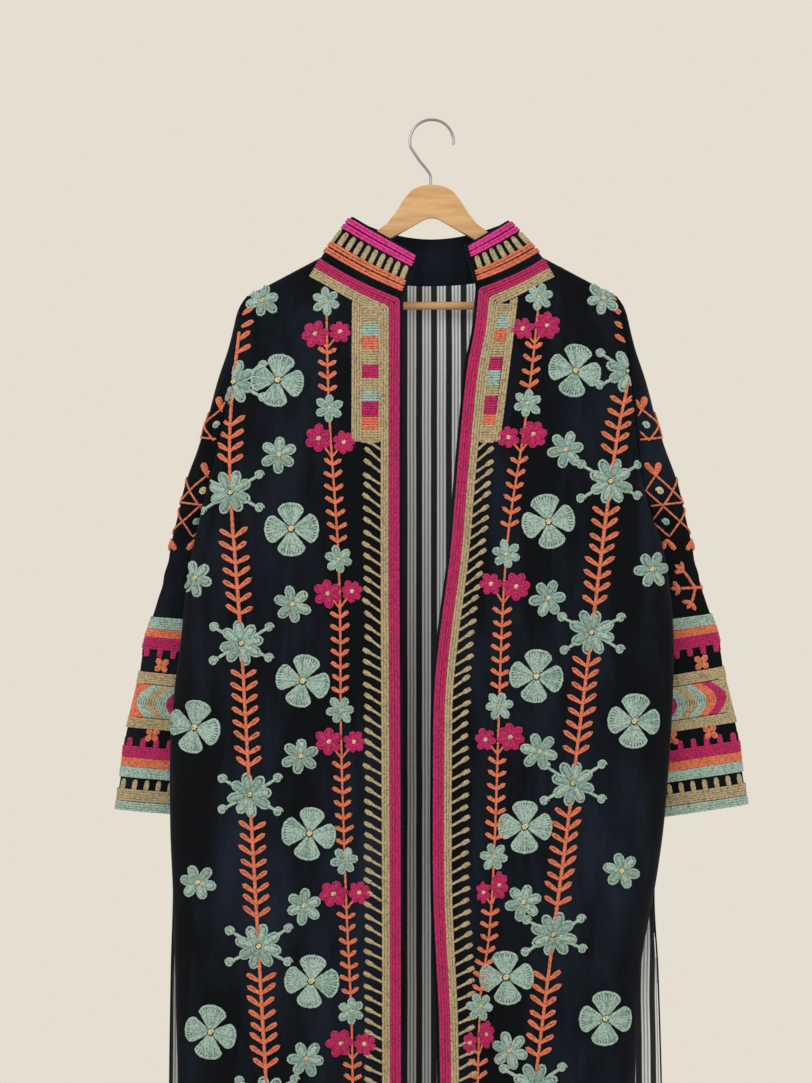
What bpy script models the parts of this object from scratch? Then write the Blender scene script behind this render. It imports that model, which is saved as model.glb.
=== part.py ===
"""Long open robe with a stand collar, hanging on a wooden hanger.

Metres, +Z up, the front faces -Y and +X is to the viewer's right. The origin is the inside top of
the hanger's hook. Every cloth piece is a wall whose outer and inner points come from one surface
function, so that neighbours meet along the same seams.
"""
import math

import bmesh
import bpy
from mathutils import Vector

# Cloth
CLOTH = 0.0020
COLLAR_CLOTH = 0.0025
LINING_CLOTH = 0.0010
SEAM_GAP = 0.0003
ARMHOLE_GAP = 0.0009
LINING_GAP = 0.0007
RELIEF = 0.0012
TINY = 1e-6
# Share of a column or row over which the surface's slope is taken
SLOPE_STEP = 1e-3

# Shoulders, which lie on the hanger's arms
SHOULDER_TIP_X = 0.222
SHOULDER_PEAK_Z = -0.0943
SHOULDER_SLOPE = 0.53
SHOULDER_ROUND = 0.0105
NECK_X = 0.134
UNDERARM_Z = -0.470
SLIT_Z = -0.930
SLIT_FADE = 0.20
SLIT_OPEN = 0.012
HEM_Z = -1.340

# Depth of the body in front of and behind the hanger
FRONT_SWELL = 0.035
FRONT_SWELL_DROP = 0.16
FRONT_SIDE_ROUND = 0.080
BACK_SWELL = 0.0135
BACK_SWELL_DROP = 0.12
BACK_SIDE_ROUND = 0.140
ARMHOLE_SWELL = 0.012
ARMHOLE_FULLNESS = 0.7
ARMHOLE_CLOSING = 4

# Neckline and collar
FRONT_NECK_Z = {-1: -0.218, 1: -0.204}
NECK_SAG = 0.003
BACK_NECK_Z = -0.197
BACK_NECK_CURVE = 2.5
COLLAR_SIDE_TOP = {-1: (0.0975, -0.1165), 1: (0.0935, -0.1210)}
COLLAR_END_TOP = {-1: (-0.016, -0.168), 1: (0.040, -0.156)}
COLLAR_BACK_TOP_Z = -0.140
COLLAR_LEAN = 0.007
STATION_STEP = 0.0025
# Beside the armhole the walls turn as they do this share of a column further in
BORDER_TURN = 0.12
BORDER_TURN_Z = (-0.40, -0.2125)

# Raised bands beside the front edges, as distances from the edge, and the plaques beside the collar
BAND_ZONE = 0.062
BAND_START = 0.0036
BAND_END = 0.030
PLAQUE_END = 0.060
PLAQUE_LOW_Z = -0.3915
STEP = 0.0015

# Rows of the panels: drops below the top edge, then levels down to the hem
TOP_DROPS = (0.0, 0.0007, 0.0028, 0.0061, 0.0105, 0.022, 0.040)
UPPER_LEVELS = (-0.275, -0.310, -0.350, PLAQUE_LOW_Z + STEP, PLAQUE_LOW_Z, -0.430, UNDERARM_Z)
LOWER_ROWS = 14
LEVELS = UPPER_LEVELS + tuple(
    UNDERARM_Z + (HEM_Z - UNDERARM_Z) * (step + 1) / LOWER_ROWS for step in range(LOWER_ROWS))
LINING_TOP_ROW = 1.5

# Columns of the panels: spans round a side, shares past the neck point, spans across the back
FRONT_SIDE_SPANS = 6
FRONT_NECK_SHARES = (0.02, 0.08, 0.20)
FRONT_MIDDLE_SHARES = (0.33, 0.66)
BACK_SIDE_SPANS = 5
BACK_NECK_SHARES = (0.012, 0.04)
BACK_SPANS = 8

# Raised bands: shares of the collar's height, levels of the sleeves
COLLAR_BANDS = ((0.06, 0.27), (0.72, 0.93))
SLEEVE_BANDS = ((-0.600, -0.644), (-0.668, -0.740), (-0.756, -0.834))

# Hanger
WOOD_HALF = 0.006
WOOD_ROUND = 0.0035
BAR_RADIUS = 0.0048
BAR_Z = -0.2244
BAR_HALF = 0.204
WIRE_RADIUS = 0.00175
HOOK_RADIUS = 0.0265
HOOK_TURN = (-9.0, 197.0)
HOOK_SPANS = 20
STEM_X = -0.0012
STEM_END_Z = -0.0915
HOOK_NECK = (
    (-0.0150, -0.0480), (-0.0048, -0.0605), (-0.0020, -0.0645), (STEM_X, -0.0690), (STEM_X, -0.0800),
    (STEM_X, STEM_END_Z))
SOCKET_CLEAR = 0.0004
SOCKET_DEPTH = 0.026
ROUND_SIDES = 16

# Outlines of the hanging body seen from the front: columns z, x
LEFT_SIDE = (
    (-0.212, -0.2220), (-0.228, -0.2290), (-0.331, -0.2440), (-0.425, -0.2660), (-0.470, -0.2780),
    (-0.515, -0.2895), (-0.571, -0.2985), (-0.632, -0.3050), (-0.696, -0.3130), (-0.758, -0.3175),
    (-0.857, -0.3175), (-0.930, -0.3145), (-1.160, -0.3070), (-1.340, -0.3040))
RIGHT_SIDE = (
    (-0.212, 0.2220), (-0.228, 0.2290), (-0.331, 0.2410), (-0.425, 0.2520), (-0.470, 0.2640),
    (-0.515, 0.2800), (-0.571, 0.2895), (-0.632, 0.2940), (-0.704, 0.2925), (-0.780, 0.2880),
    (-0.857, 0.2815), (-0.930, 0.2710), (-1.007, 0.2560), (-1.072, 0.2485), (-1.340, 0.2430))
LEFT_BACK_SIDE = LEFT_SIDE[:12] + ((-1.030, -0.3170), (-1.160, -0.3190), (-1.340, -0.3200))
RIGHT_BACK_SIDE = RIGHT_SIDE[:12] + ((-1.030, 0.2755), (-1.160, 0.2795), (-1.340, 0.2820))
LEFT_EDGE = ((-0.218, -0.0348), (-0.500, -0.0355), (-0.900, -0.0340), (-1.340, -0.0335))
RIGHT_EDGE = (
    (-0.204, 0.0528), (-0.260, 0.0468), (-0.298, 0.0390), (-0.359, 0.0324), (-0.439, 0.0252),
    (-0.526, 0.0180), (-0.619, 0.0060), (-0.691, -0.0010), (-0.773, -0.0024), (-0.929, -0.0022),
    (-1.007, 0.0012), (-1.085, 0.0048), (-1.340, 0.0080))

# Largest folds: columns top x, hem x, top z, low z, depth (positive is a trough), half width
FRONT_FOLDS = (
    (-0.098, -0.092, -0.42, -1.50, 0.0075, 0.017),
    (-0.195, -0.215, -0.62, -1.50, -0.0060, 0.034),
    (-0.262, -0.268, -0.75, -1.50, 0.0050, 0.020),
    (0.110, 0.100, -0.36, -1.05, -0.0060, 0.026),
    (0.070, 0.066, -0.90, -1.50, 0.0075, 0.016),
    (0.205, 0.185, -0.60, -1.50, 0.0060, 0.024))
BACK_FOLDS = (
    (-0.165, -0.205, -0.55, -1.50, 0.0070, 0.028),
    (-0.070, -0.085, -0.40, -1.50, -0.0080, 0.030),
    (0.030, 0.035, -0.48, -1.50, 0.0080, 0.026),
    (0.120, 0.150, -0.38, -1.50, -0.0070, 0.030),
    (0.200, 0.225, -0.70, -1.50, 0.0060, 0.022))

# Sleeve lines: columns level, outer x, inner fold x from the underarm, y of the inner fold, middle y,
# half depth in front, half depth behind
SLEEVE_LINES = (
    (-0.229, 0.2345, 0.0000, 0.0000, 0.0000, 0.0020, 0.0020),
    (-0.258, 0.2420, 0.0000, 0.0000, 0.0000, 0.0060, 0.0070),
    (-0.310, 0.2560, 0.0000, 0.0000, 0.0000, 0.0100, 0.0140),
    (-0.370, 0.2760, 0.0000, 0.0000, 0.0010, 0.0120, 0.0220),
    (-0.434, 0.2960, 0.0000, 0.0000, 0.0040, 0.0110, 0.0250),
    (-0.470, 0.3065, 0.0000, 0.0000, 0.0090, 0.0105, 0.0265),
    (-0.485, 0.3110, 0.0040, 0.0110, 0.0125, 0.0095, 0.0275),
    (-0.510, 0.3180, 0.0000, 0.0190, 0.0200, 0.0085, 0.0285),
    (-0.550, 0.3285, -0.0140, 0.0260, 0.0270, 0.0080, 0.0290),
    (-0.590, 0.3380, -0.0300, 0.0290, 0.0290, 0.0080, 0.0280),
    (-0.668, 0.3570, -0.0540, 0.0290, 0.0290, 0.0080, 0.0260),
    (-0.748, 0.3730, -0.0560, 0.0290, 0.0290, 0.0080, 0.0210),
    (-0.838, 0.3860, -0.0420, 0.0290, 0.0290, 0.0080, 0.0150))
SLEEVE_SPANS = 20
SLEEVE_LEVELS = (
    -0.229, -0.240, -0.254, -0.272, -0.300, -0.335, -0.370, -0.405, -0.435, -0.456, UNDERARM_Z, -0.485,
    -0.505, -0.530, -0.560, -0.838)
# Lower sections tilt: their outer end is higher by this much
SLEEVE_TILT = {-1: 0.012, 1: 0.024}
TILT_START_Z = -0.55
TILT_FADE = 0.10
# Powers of a section's bulge: sharp beside the armhole, blunt below it
SLEEVE_SHARP = 1.6
SLEEVE_BLUNT = 0.8
# Sections are half ellipses beside the armhole and close towards the underarm from here
SECTION_CLOSING_Z = -0.40
# Creases across a sleeve: columns level, depth, half width
SLEEVE_CREASES = ((-0.415, 0.0025, 0.018), (-0.530, -0.0022, 0.021), (-0.575, 0.0022, 0.015))

# Right half of the hanger's outline: columns x, z
WOOD_TOP = (
    (0.000, -0.0780), (0.012, -0.0792), (0.024, -0.0845), (0.034, -0.0960), (0.043, -0.1110),
    (0.054, -0.1250), (0.070, -0.1370))
WOOD_LOW = (
    (0.2120, -0.2123), (0.2160, -0.2180), (0.2150, -0.2320), (0.2090, -0.2355), (0.2000, -0.2345),
    (0.1850, -0.2170), (0.0600, -0.1485), (0.0200, -0.1262), (0.0080, -0.1190),
    (0.0000, -0.1172))

COLORS = {
    "velvet": ((0.004, 0.0075, 0.016), 0.85, 0.0),
    "striped_cotton": ((0.16, 0.17, 0.19), 0.8, 0.0),
    "beech": ((0.57, 0.34, 0.155), 0.45, 0.0),
    "chrome": ((0.75, 0.75, 0.77), 0.18, 1.0),
}


def clear_scene():
    for item in list(bpy.data.objects):
        bpy.data.objects.remove(item, do_unlink=True)


def new_collection(name):
    collection = bpy.data.collections.new(name)
    bpy.context.scene.collection.children.link(collection)
    return collection


def material(name):
    made = bpy.data.materials.get(name)
    if made:
        return made
    color, roughness, metallic = COLORS[name]
    made = bpy.data.materials.new(name)
    made.use_nodes = True
    shader = made.node_tree.nodes["Principled BSDF"]
    shader.inputs["Base Color"].default_value = (*color, 1.0)
    shader.inputs["Roughness"].default_value = roughness
    shader.inputs["Metallic"].default_value = metallic
    return made


def smooth(value):
    value = min(max(value, 0.0), 1.0)
    return value * value * (3.0 - 2.0 * value)


def mix(start, end, share):
    return start + (end - start) * share


def read_curve(table, place, column=1):
    """Smooth curve through a table whose first column falls, held level past its ends."""
    if place >= table[0][0]:
        return table[0][column]
    if place <= table[-1][0]:
        return table[-1][column]
    last = len(table) - 1
    row = next(i for i in range(last) if table[i + 1][0] <= place)
    before, start = table[max(row - 1, 0)], table[row]
    end, after = table[row + 1], table[min(row + 2, last)]
    span = end[0] - start[0]
    share = (place - start[0]) / span
    slope_in = (end[column] - before[column]) / (end[0] - before[0]) * span
    slope_out = (after[column] - start[column]) / (after[0] - start[0]) * span
    square, cube = share ** 2, share ** 3
    return ((2 * cube - 3 * square + 1) * start[column] + (cube - 2 * square + share) * slope_in
            + (3 * square - 2 * cube) * end[column] + (cube - square) * slope_out)


def shoulder_z(x):
    return SHOULDER_PEAK_Z - SHOULDER_SLOPE * abs(x)


def over_hanger(drop):
    """Half thickness of the cloth where it bends over the hanger's arm."""
    rest = 1.0 - min(max(drop, 0.0) / SHOULDER_ROUND, 1.0)
    return SHOULDER_ROUND * math.sqrt(1.0 - rest * rest)


def round_side(distance, width):
    """Quarter ellipse from 0 at the side seam to 1 where the panel lies flat."""
    rest = 1.0 - min(max(distance, 0.0) / width, 1.0)
    return math.sqrt(1.0 - rest * rest)


def armhole_depth(drop, z):
    """Half opening of the armhole: nothing at the shoulder, the underarm and below it."""
    share = (shoulder_z(SHOULDER_TIP_X) - z) / (shoulder_z(SHOULDER_TIP_X) - UNDERARM_Z)
    if share >= 1.0:
        return 0.0
    share = max(share, 0.0)
    swell = ARMHOLE_SWELL * math.sin(math.pi * share) ** ARMHOLE_FULLNESS
    return (over_hanger(drop) + swell) * math.sqrt(1.0 - share ** ARMHOLE_CLOSING)


def fold_depth(folds, x, z):
    """Depth of all the folds at one place, each fading in and out along its length."""
    total = 0.0
    for top_x, hem_x, top_z, low_z, depth, half_width in folds:
        share = (top_z - z) / (top_z - low_z)
        fade = smooth(share * 4.0) * smooth((1.0 - share) * 4.0)
        middle = mix(top_x, hem_x, share)
        total += depth * fade * math.exp(-((x - middle) / half_width) ** 2)
    return total


def body_y(x, z, distance, front):
    """Depth of the body's outer face: negative in front, positive behind."""
    drop = shoulder_z(x) - z
    if front:
        swell = FRONT_SWELL * smooth(drop / FRONT_SWELL_DROP)
        flat = round_side(distance, FRONT_SIDE_ROUND)
        folds = FRONT_FOLDS
    else:
        swell = BACK_SWELL * smooth(drop / BACK_SWELL_DROP)
        flat = round_side(distance, BACK_SIDE_ROUND)
        folds = BACK_FOLDS
    side = armhole_depth(drop, z)
    if front:
        side += SLIT_OPEN * smooth((SLIT_Z - z) / SLIT_FADE)
    depth = side * (1.0 - flat) + (over_hanger(drop) + swell - fold_depth(folds, x, z)) * flat
    gap = SEAM_GAP / 2.0
    return -(depth + gap) if front else depth + gap


def front_neck_z(x, side):
    """The neckline falls from the neck point to the front edge."""
    end_x = (LEFT_EDGE if side < 0 else RIGHT_EDGE)[0][1]
    share = (NECK_X - abs(x)) / (NECK_X - abs(end_x))
    start_z = shoulder_z(NECK_X)
    sag = NECK_SAG * math.sin(math.pi * min(max(share, 0.0), 1.0))
    return mix(start_z, FRONT_NECK_Z[side], share) - sag


def back_neck_z(x):
    rise = (abs(x) / NECK_X) ** BACK_NECK_CURVE
    return mix(BACK_NECK_Z, shoulder_z(NECK_X), rise)


def top_z(x, side, front):
    if abs(x) >= NECK_X:
        return shoulder_z(x)
    return front_neck_z(x, side) if front else back_neck_z(x)


def row_z(row, start_z):
    """Height of a row: the first rows follow the top edge, the rest are level."""
    low = int(math.floor(row))
    share = row - low

    def whole(index):
        if index < len(TOP_DROPS):
            return start_z - TOP_DROPS[index]
        return LEVELS[min(index - len(TOP_DROPS), len(LEVELS) - 1)]

    if share < TINY:
        return whole(low)
    return mix(whole(low), whole(low + 1), share)


def column_start(x_at, side, front):
    """Top of a column, where its line meets the shoulder or the neckline."""
    z = shoulder_z(SHOULDER_TIP_X)
    for _ in range(6):
        z = top_z(x_at(z), side, front)
    return z


def front_x(column, z, side):
    """Columns 0 to 1 round the side, 1 to 2 cross the panel, 2 to 3 are the banded edge."""
    seam = read_curve(LEFT_SIDE if side < 0 else RIGHT_SIDE, z)
    edge = read_curve(LEFT_EDGE if side < 0 else RIGHT_EDGE, z)
    inward = -side
    flat = seam + inward * FRONT_SIDE_ROUND
    band = edge - inward * BAND_ZONE
    if column <= 1.0:
        return seam + inward * FRONT_SIDE_ROUND * (1.0 - math.cos(column * math.pi / 2.0))
    if column <= 2.0:
        return mix(flat, band, column - 1.0)
    return mix(band, edge, column - 2.0)


def front_point(column, row, side):
    start_z = column_start(lambda z: front_x(column, z, side), side, True)
    z = row_z(row, start_z)
    x = front_x(column, z, side)
    seam = read_curve(LEFT_SIDE if side < 0 else RIGHT_SIDE, z)
    return Vector((x, body_y(x, z, abs(seam - x), True), z))


def back_x(column, z):
    """Columns 0 to 1 round the left side, 1 to 3 cross the back, 3 to 4 round the right side."""
    left = read_curve(LEFT_BACK_SIDE, z)
    right = read_curve(RIGHT_BACK_SIDE, z)
    if column <= 1.0:
        return left + BACK_SIDE_ROUND * (1.0 - math.cos(column * math.pi / 2.0))
    if column >= 3.0:
        return right - BACK_SIDE_ROUND * (1.0 - math.cos((4.0 - column) * math.pi / 2.0))
    return mix(left + BACK_SIDE_ROUND, right - BACK_SIDE_ROUND, (column - 1.0) / 2.0)


def back_point(column, row):
    start_z = column_start(lambda z: back_x(column, z), 0, False)
    z = row_z(row, start_z)
    x = back_x(column, z)
    left = read_curve(LEFT_BACK_SIDE, z)
    right = read_curve(RIGHT_BACK_SIDE, z)
    return Vector((x, body_y(x, z, min(x - left, right - x), False), z))


def surface_normal(point_at, column, row, limits, outward):
    """Outward normal from small steps along the surface, one-sided at its borders."""
    low_column, high_column = max(column - SLOPE_STEP, limits[0]), min(column + SLOPE_STEP, limits[1])
    low_row, high_row = max(row - SLOPE_STEP, limits[2]), min(row + SLOPE_STEP, limits[3])
    across = point_at(high_column, row) - point_at(low_column, row)
    down = point_at(column, high_row) - point_at(column, low_row)
    normal = across.cross(down).normalized()
    return normal if normal.dot(outward(column, row)) > 0 else -normal


def cloth_wall(name, grid, joined_row, slot, collection):
    """Closed wall from a grid of (outer, inner) point pairs, made a tube from its joined row down."""
    work = bmesh.new()
    rows = len(grid)
    last = len(grid[0]) - 1
    if joined_row is None:
        joined_row = rows
    faces = []
    for face in (0, 1):
        verts = [[work.verts.new(pair[face]) for pair in line[:last]] for line in grid]
        for row, line in enumerate(grid):
            verts[row].append(verts[row][0] if row >= joined_row else work.verts.new(line[last][face]))
        faces.append(verts)
    outer, inner = faces
    for verts in faces:
        for row in range(rows - 1):
            for column in range(last):
                work.faces.new((verts[row][column], verts[row][column + 1],
                                verts[row + 1][column + 1], verts[row + 1][column]))
    border = []
    for column in range(last):
        border += [(0, column, 0, column + 1), (rows - 1, column, rows - 1, column + 1)]
    for row in range(min(joined_row, rows - 1)):
        border += [(row, 0, row + 1, 0), (row, last, row + 1, last)]
    for row, column, next_row, next_column in border:
        work.faces.new((outer[row][column], outer[next_row][next_column],
                        inner[next_row][next_column], inner[row][column]))
    bmesh.ops.recalc_face_normals(work, faces=work.faces)
    mesh = bpy.data.meshes.new(name)
    work.to_mesh(mesh)
    work.free()
    mesh.shade_smooth()
    mesh.set_sharp_from_angle(angle=math.radians(40))
    mesh.materials.append(material(slot))
    made = bpy.data.objects.new(name, mesh)
    collection.objects.link(made)
    return made


def panel_grid(point_at, columns, rows, outward, raised, offset, thickness):
    """Point pairs of a panel: its outer face stands off by offset and by any relief."""
    limits = (columns[0], columns[-1], rows[0], rows[-1])
    grid = []
    for row in rows:
        line = []
        for column in columns:
            point = point_at(column, row)
            within = min(max(column, limits[0] + BORDER_TURN), limits[1] - BORDER_TURN)
            turned = within if BORDER_TURN_Z[0] < point.z < BORDER_TURN_Z[1] else column
            normal = surface_normal(point_at, turned, row, limits, outward)
            relief = RELIEF if raised(column, row) else 0.0
            line.append((point + normal * (offset + relief), point + normal * (offset - thickness)))
        grid.append(line)
    return grid


def front_columns(side):
    """Columns of a front: round the side, across the neck point, then the banded edge."""
    z = shoulder_z(SHOULDER_TIP_X)
    flat = abs(front_x(1.0, z, side))
    band = abs(front_x(2.0, z, side))
    neck = (flat - NECK_X) / (flat - band)
    turns = [step / FRONT_SIDE_SPANS for step in range(FRONT_SIDE_SPANS)]
    across = [0.0, neck] + [neck + share for share in FRONT_NECK_SHARES]
    across += [mix(across[-1], 1.0, share) for share in FRONT_MIDDLE_SHARES]
    edges = (BAND_ZONE, PLAQUE_END, PLAQUE_END - STEP, BAND_END, BAND_END - STEP,
             BAND_START + STEP, BAND_START, 0.0)
    banded = [3.0 - distance / BAND_ZONE for distance in edges]
    return turns + [1.0 + share for share in across] + banded


def front_raised(column, row):
    """Whether a point of a front lies on the raised bands or the plaque."""
    distance = (3.0 - column) * BAND_ZONE
    if distance < BAND_START + STEP - TINY or row < 1:
        return False
    if distance <= BAND_END - STEP + TINY:
        return True
    above_low_end = int(row) - len(TOP_DROPS) < LEVELS.index(PLAQUE_LOW_Z)
    return distance <= PLAQUE_END - STEP + TINY and above_low_end and row > 2


def make_fronts(collection):
    rows = list(range(len(TOP_DROPS) + len(LEVELS)))
    for side, name in ((-1, "front_left"), (1, "front_right")):
        grid = panel_grid(lambda column, row: front_point(column, row, side),
                          front_columns(side), rows,
                          lambda column, row: Vector((side * 0.2, -1.0, 0.2 if row > 1 else 2.0)),
                          front_raised, 0.0, CLOTH)
        cloth_wall(name, grid, None, "velvet", collection)


def back_columns():
    turns = [step / BACK_SIDE_SPANS for step in range(BACK_SIDE_SPANS)]
    neck_turn = math.acos(1.0 - (SHOULDER_TIP_X - NECK_X) / BACK_SIDE_ROUND) * 2.0 / math.pi
    around = sorted(turns + [neck_turn] + [neck_turn + share for share in BACK_NECK_SHARES])
    middle = [1.0 + 2.0 * step / BACK_SPANS for step in range(BACK_SPANS + 1)]
    return around + middle + [4.0 - turn for turn in reversed(around)]


def make_back(collection):
    """The velvet back, and its lining a little inside it."""
    rows = list(range(len(TOP_DROPS) + len(LEVELS)))
    columns = back_columns()

    def outward(column, row):
        return Vector(((column - 2.0) * 0.2, 1.0, 0.2 if row > 1 else 2.0))

    grid = panel_grid(back_point, columns, rows, outward, lambda column, row: False, 0.0, CLOTH)
    cloth_wall("back", grid, None, "velvet", collection)
    lining_rows = [LINING_TOP_ROW] + rows[2:]
    grid = panel_grid(back_point, columns, lining_rows, outward,
                      lambda column, row: False, -(CLOTH + LINING_GAP), LINING_CLOTH)
    cloth_wall("lining_back", grid, None, "striped_cotton", collection)


def collar_ends(place):
    """Bottom and top of the collar: place 0 to 1 left front, 1 to 2 behind, 2 to 3 right front."""
    if 1.0 < place < 2.0:
        turn = -math.cos(math.pi * (place - 1.0))
        x = NECK_X * turn
        z = back_neck_z(x)
        side = -1 if turn < 0 else 1
        bottom = Vector((x, body_y(x, z, SHOULDER_TIP_X - abs(x), False), z))
        blend = (turn + 1.0) / 2.0
        reach = mix(COLLAR_SIDE_TOP[-1][0], COLLAR_SIDE_TOP[1][0], blend)
        side_z = mix(COLLAR_SIDE_TOP[-1][1], COLLAR_SIDE_TOP[1][1], blend)
        lift = mix(COLLAR_BACK_TOP_Z, side_z, turn * turn)
        lean = COLLAR_LEAN * (1.0 - turn * turn)
        return bottom, Vector((reach * turn, bottom.y + lean, lift))
    side = -1 if place <= 1.0 else 1
    share = (1.0 - place) if side < 0 else (place - 2.0)
    share = share * share
    edge = (LEFT_EDGE if side < 0 else RIGHT_EDGE)[0][1]
    x = mix(side * NECK_X, edge, share)
    z = front_neck_z(x, side)
    bottom = Vector((x, body_y(x, z, SHOULDER_TIP_X - abs(x), True), z))
    start_x, start_z = COLLAR_SIDE_TOP[side]
    end_x, end_z = COLLAR_END_TOP[side]
    top = Vector((mix(side * start_x, end_x, share), bottom.y - COLLAR_LEAN * share,
                  mix(start_z, end_z, share)))
    return bottom, top


def collar_point(place, height):
    bottom, top = collar_ends(place)
    bottom.z += SEAM_GAP * 2.0
    return bottom.lerp(top, height)


def neck_stations(side):
    """Places along a front's neckline where its columns meet the collar, from the neck point on."""
    edge = (LEFT_EDGE if side < 0 else RIGHT_EDGE)[0][1]
    stations = []
    last = None
    for column in front_columns(side)[:-1]:
        point = front_point(column, 0, side)
        if abs(point.x) > NECK_X - TINY or (last and (point - last).length < STATION_STEP):
            continue
        share = math.sqrt((NECK_X - abs(point.x)) / (NECK_X - side * edge))
        stations.append(1.0 - share if side < 0 else 2.0 + share)
        last = point
    return stations + [0.0 if side < 0 else 3.0]


def collar_places():
    """The collar's columns stand on those of the fronts and the back."""
    behind = []
    for column in back_columns():
        turn = back_point(column, 0).x / NECK_X
        if abs(turn) < 1.0 - 1e-4:
            behind.append(1.0 + math.acos(-turn) / math.pi)
    return sorted(neck_stations(-1) + [1.0] + behind + [2.0] + neck_stations(1))


def make_collar(collection):
    places = collar_places()
    heights = [0.0, 1.0, 0.5]
    for low, high in COLLAR_BANDS:
        heights += [low, low + 0.02, high - 0.02, high]
    heights.sort()

    def raised(place, height):
        return any(low + 0.01 < height < high - 0.01 for low, high in COLLAR_BANDS)

    def outward(place, height):
        point = collar_point(place, height)
        return Vector((point.x * 0.6, point.y, 0.02))

    grid = panel_grid(collar_point, places, heights, outward, raised, 0.0, COLLAR_CLOTH)
    cloth_wall("collar", grid, None, "velvet", collection)


def section_closing(level):
    """0 where a sleeve's section is open beside the armhole, 1 from the underarm down."""
    return smooth((SECTION_CLOSING_Z - level) / (SECTION_CLOSING_Z - UNDERARM_Z))


def sleeve_point(turn, level, side):
    """Turn 0 is the outer fold, pi and -pi the armhole or inner fold, and 0 to pi lies in front."""
    outer_x, fold_x, fold_y, middle_y, front_half, back_half = (
        read_curve(SLEEVE_LINES, level, column) for column in range(1, 7))
    side_line = LEFT_SIDE if side < 0 else RIGHT_SIDE
    start_x = read_curve(side_line, max(level, UNDERARM_Z)) + side * (fold_x + ARMHOLE_GAP)
    closing = section_closing(level)
    share = abs(math.cos(turn / 2.0)) ** (1.0 + closing)
    front = turn > 0.0
    crease = sum(depth * math.exp(-((level - place) / width) ** 2)
                 for place, depth, width in SLEEVE_CREASES)
    half = (front_half if front else back_half) - crease
    bulge = half * abs(math.sin(turn)) ** mix(SLEEVE_SHARP, SLEEVE_BLUNT, closing)
    drop = shoulder_z(read_curve(side_line, level)) - level
    opening = (armhole_depth(drop, level) + SEAM_GAP / 2.0) * math.sqrt(1.0 - share ** 2)
    if level <= UNDERARM_Z:
        opening = 0.0
    depth = math.hypot(opening, bulge)
    tilt = SLEEVE_TILT[side] * smooth((TILT_START_Z - level) / TILT_FADE)
    return Vector((mix(start_x, side * outer_x, share),
                   mix(fold_y, middle_y, math.sqrt(share)) + (-depth if front else depth),
                   level + tilt * (share - 0.5)))


def sleeve_outward(turn, level, side):
    """Direction of the wall's thickness: half as much turn beside the armhole as below it."""
    angle = turn * mix(0.5, 1.0, section_closing(level))
    deep = math.copysign(math.sqrt(abs(math.sin(angle))), math.sin(angle))
    return Vector((side * math.cos(angle), -deep, 0.0))


def make_sleeves(collection):
    turns = [math.pi * (1.0 - 2.0 * step / SLEEVE_SPANS) for step in range(SLEEVE_SPANS + 1)]
    levels = list(SLEEVE_LEVELS)
    for top, low in SLEEVE_BANDS:
        levels += [top, top - STEP, low + STEP, low]
    levels.sort(reverse=True)

    for side, name in ((-1, "sleeve_left"), (1, "sleeve_right")):
        grid = []
        for level in levels:
            raised = any(low + STEP - TINY <= level <= top - STEP + TINY
                         for top, low in SLEEVE_BANDS)
            relief = RELIEF if raised else 0.0
            line = []
            for turn in turns:
                point = sleeve_point(turn, level, side)
                normal = sleeve_outward(turn, level, side)
                line.append((point + normal * relief, point - normal * CLOTH))
            grid.append(line)
        cloth_wall(name, grid, levels.index(UNDERARM_Z), "velvet", collection)


def wood_outline():
    half = list(WOOD_TOP) + list(WOOD_LOW)
    return half + [(-x, z) for x, z in reversed(half) if x > 0.0]


def cutter(name, radius, depth, place, turn, collection):
    bpy.ops.mesh.primitive_cylinder_add(vertices=ROUND_SIDES, radius=radius, depth=depth,
                                        location=place, rotation=turn)
    made = bpy.context.object
    made.name = name
    made.hide_render = True
    made.display_type = "WIRE"
    for owner in list(made.users_collection):
        owner.objects.unlink(made)
    collection.objects.link(made)
    return made


def make_hanger_body(collection, cutters):
    work = bmesh.new()
    ring = [work.verts.new((x, -WOOD_HALF, z)) for x, z in wood_outline()]
    front = work.faces.new(ring)
    out = bmesh.ops.extrude_face_region(work, geom=[front])
    moved = [item for item in out["geom"] if isinstance(item, bmesh.types.BMVert)]
    bmesh.ops.translate(work, verts=moved, vec=(0.0, 2.0 * WOOD_HALF, 0.0))
    bmesh.ops.recalc_face_normals(work, faces=work.faces)
    rims = [edge for edge in work.edges
            if abs(edge.verts[0].co.y - edge.verts[1].co.y) < 1e-6]
    bmesh.ops.bevel(work, geom=rims, offset=WOOD_ROUND, segments=2, profile=0.5, affect="EDGES",
                    clamp_overlap=True)
    mesh = bpy.data.meshes.new("hanger_body")
    work.to_mesh(mesh)
    work.free()
    mesh.materials.append(material("beech"))
    made = bpy.data.objects.new("hanger_body", mesh)
    collection.objects.link(made)
    sideways = (0.0, math.pi / 2.0, 0.0)
    tools = [
        cutter("bar_socket", BAR_RADIUS + SOCKET_CLEAR, 2.0 * (BAR_HALF + SOCKET_CLEAR),
               (0.0, 0.0, BAR_Z), sideways, cutters),
        cutter("hook_socket", WIRE_RADIUS + SOCKET_CLEAR, SOCKET_DEPTH,
               (STEM_X, 0.0, STEM_END_Z - SOCKET_CLEAR + SOCKET_DEPTH / 2.0), (0.0, 0.0, 0.0), cutters)]
    for tool in tools:
        cut = made.modifiers.new(tool.name, "BOOLEAN")
        cut.operation = "DIFFERENCE"
        cut.object = tool
        cut.solver = "EXACT"


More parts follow.
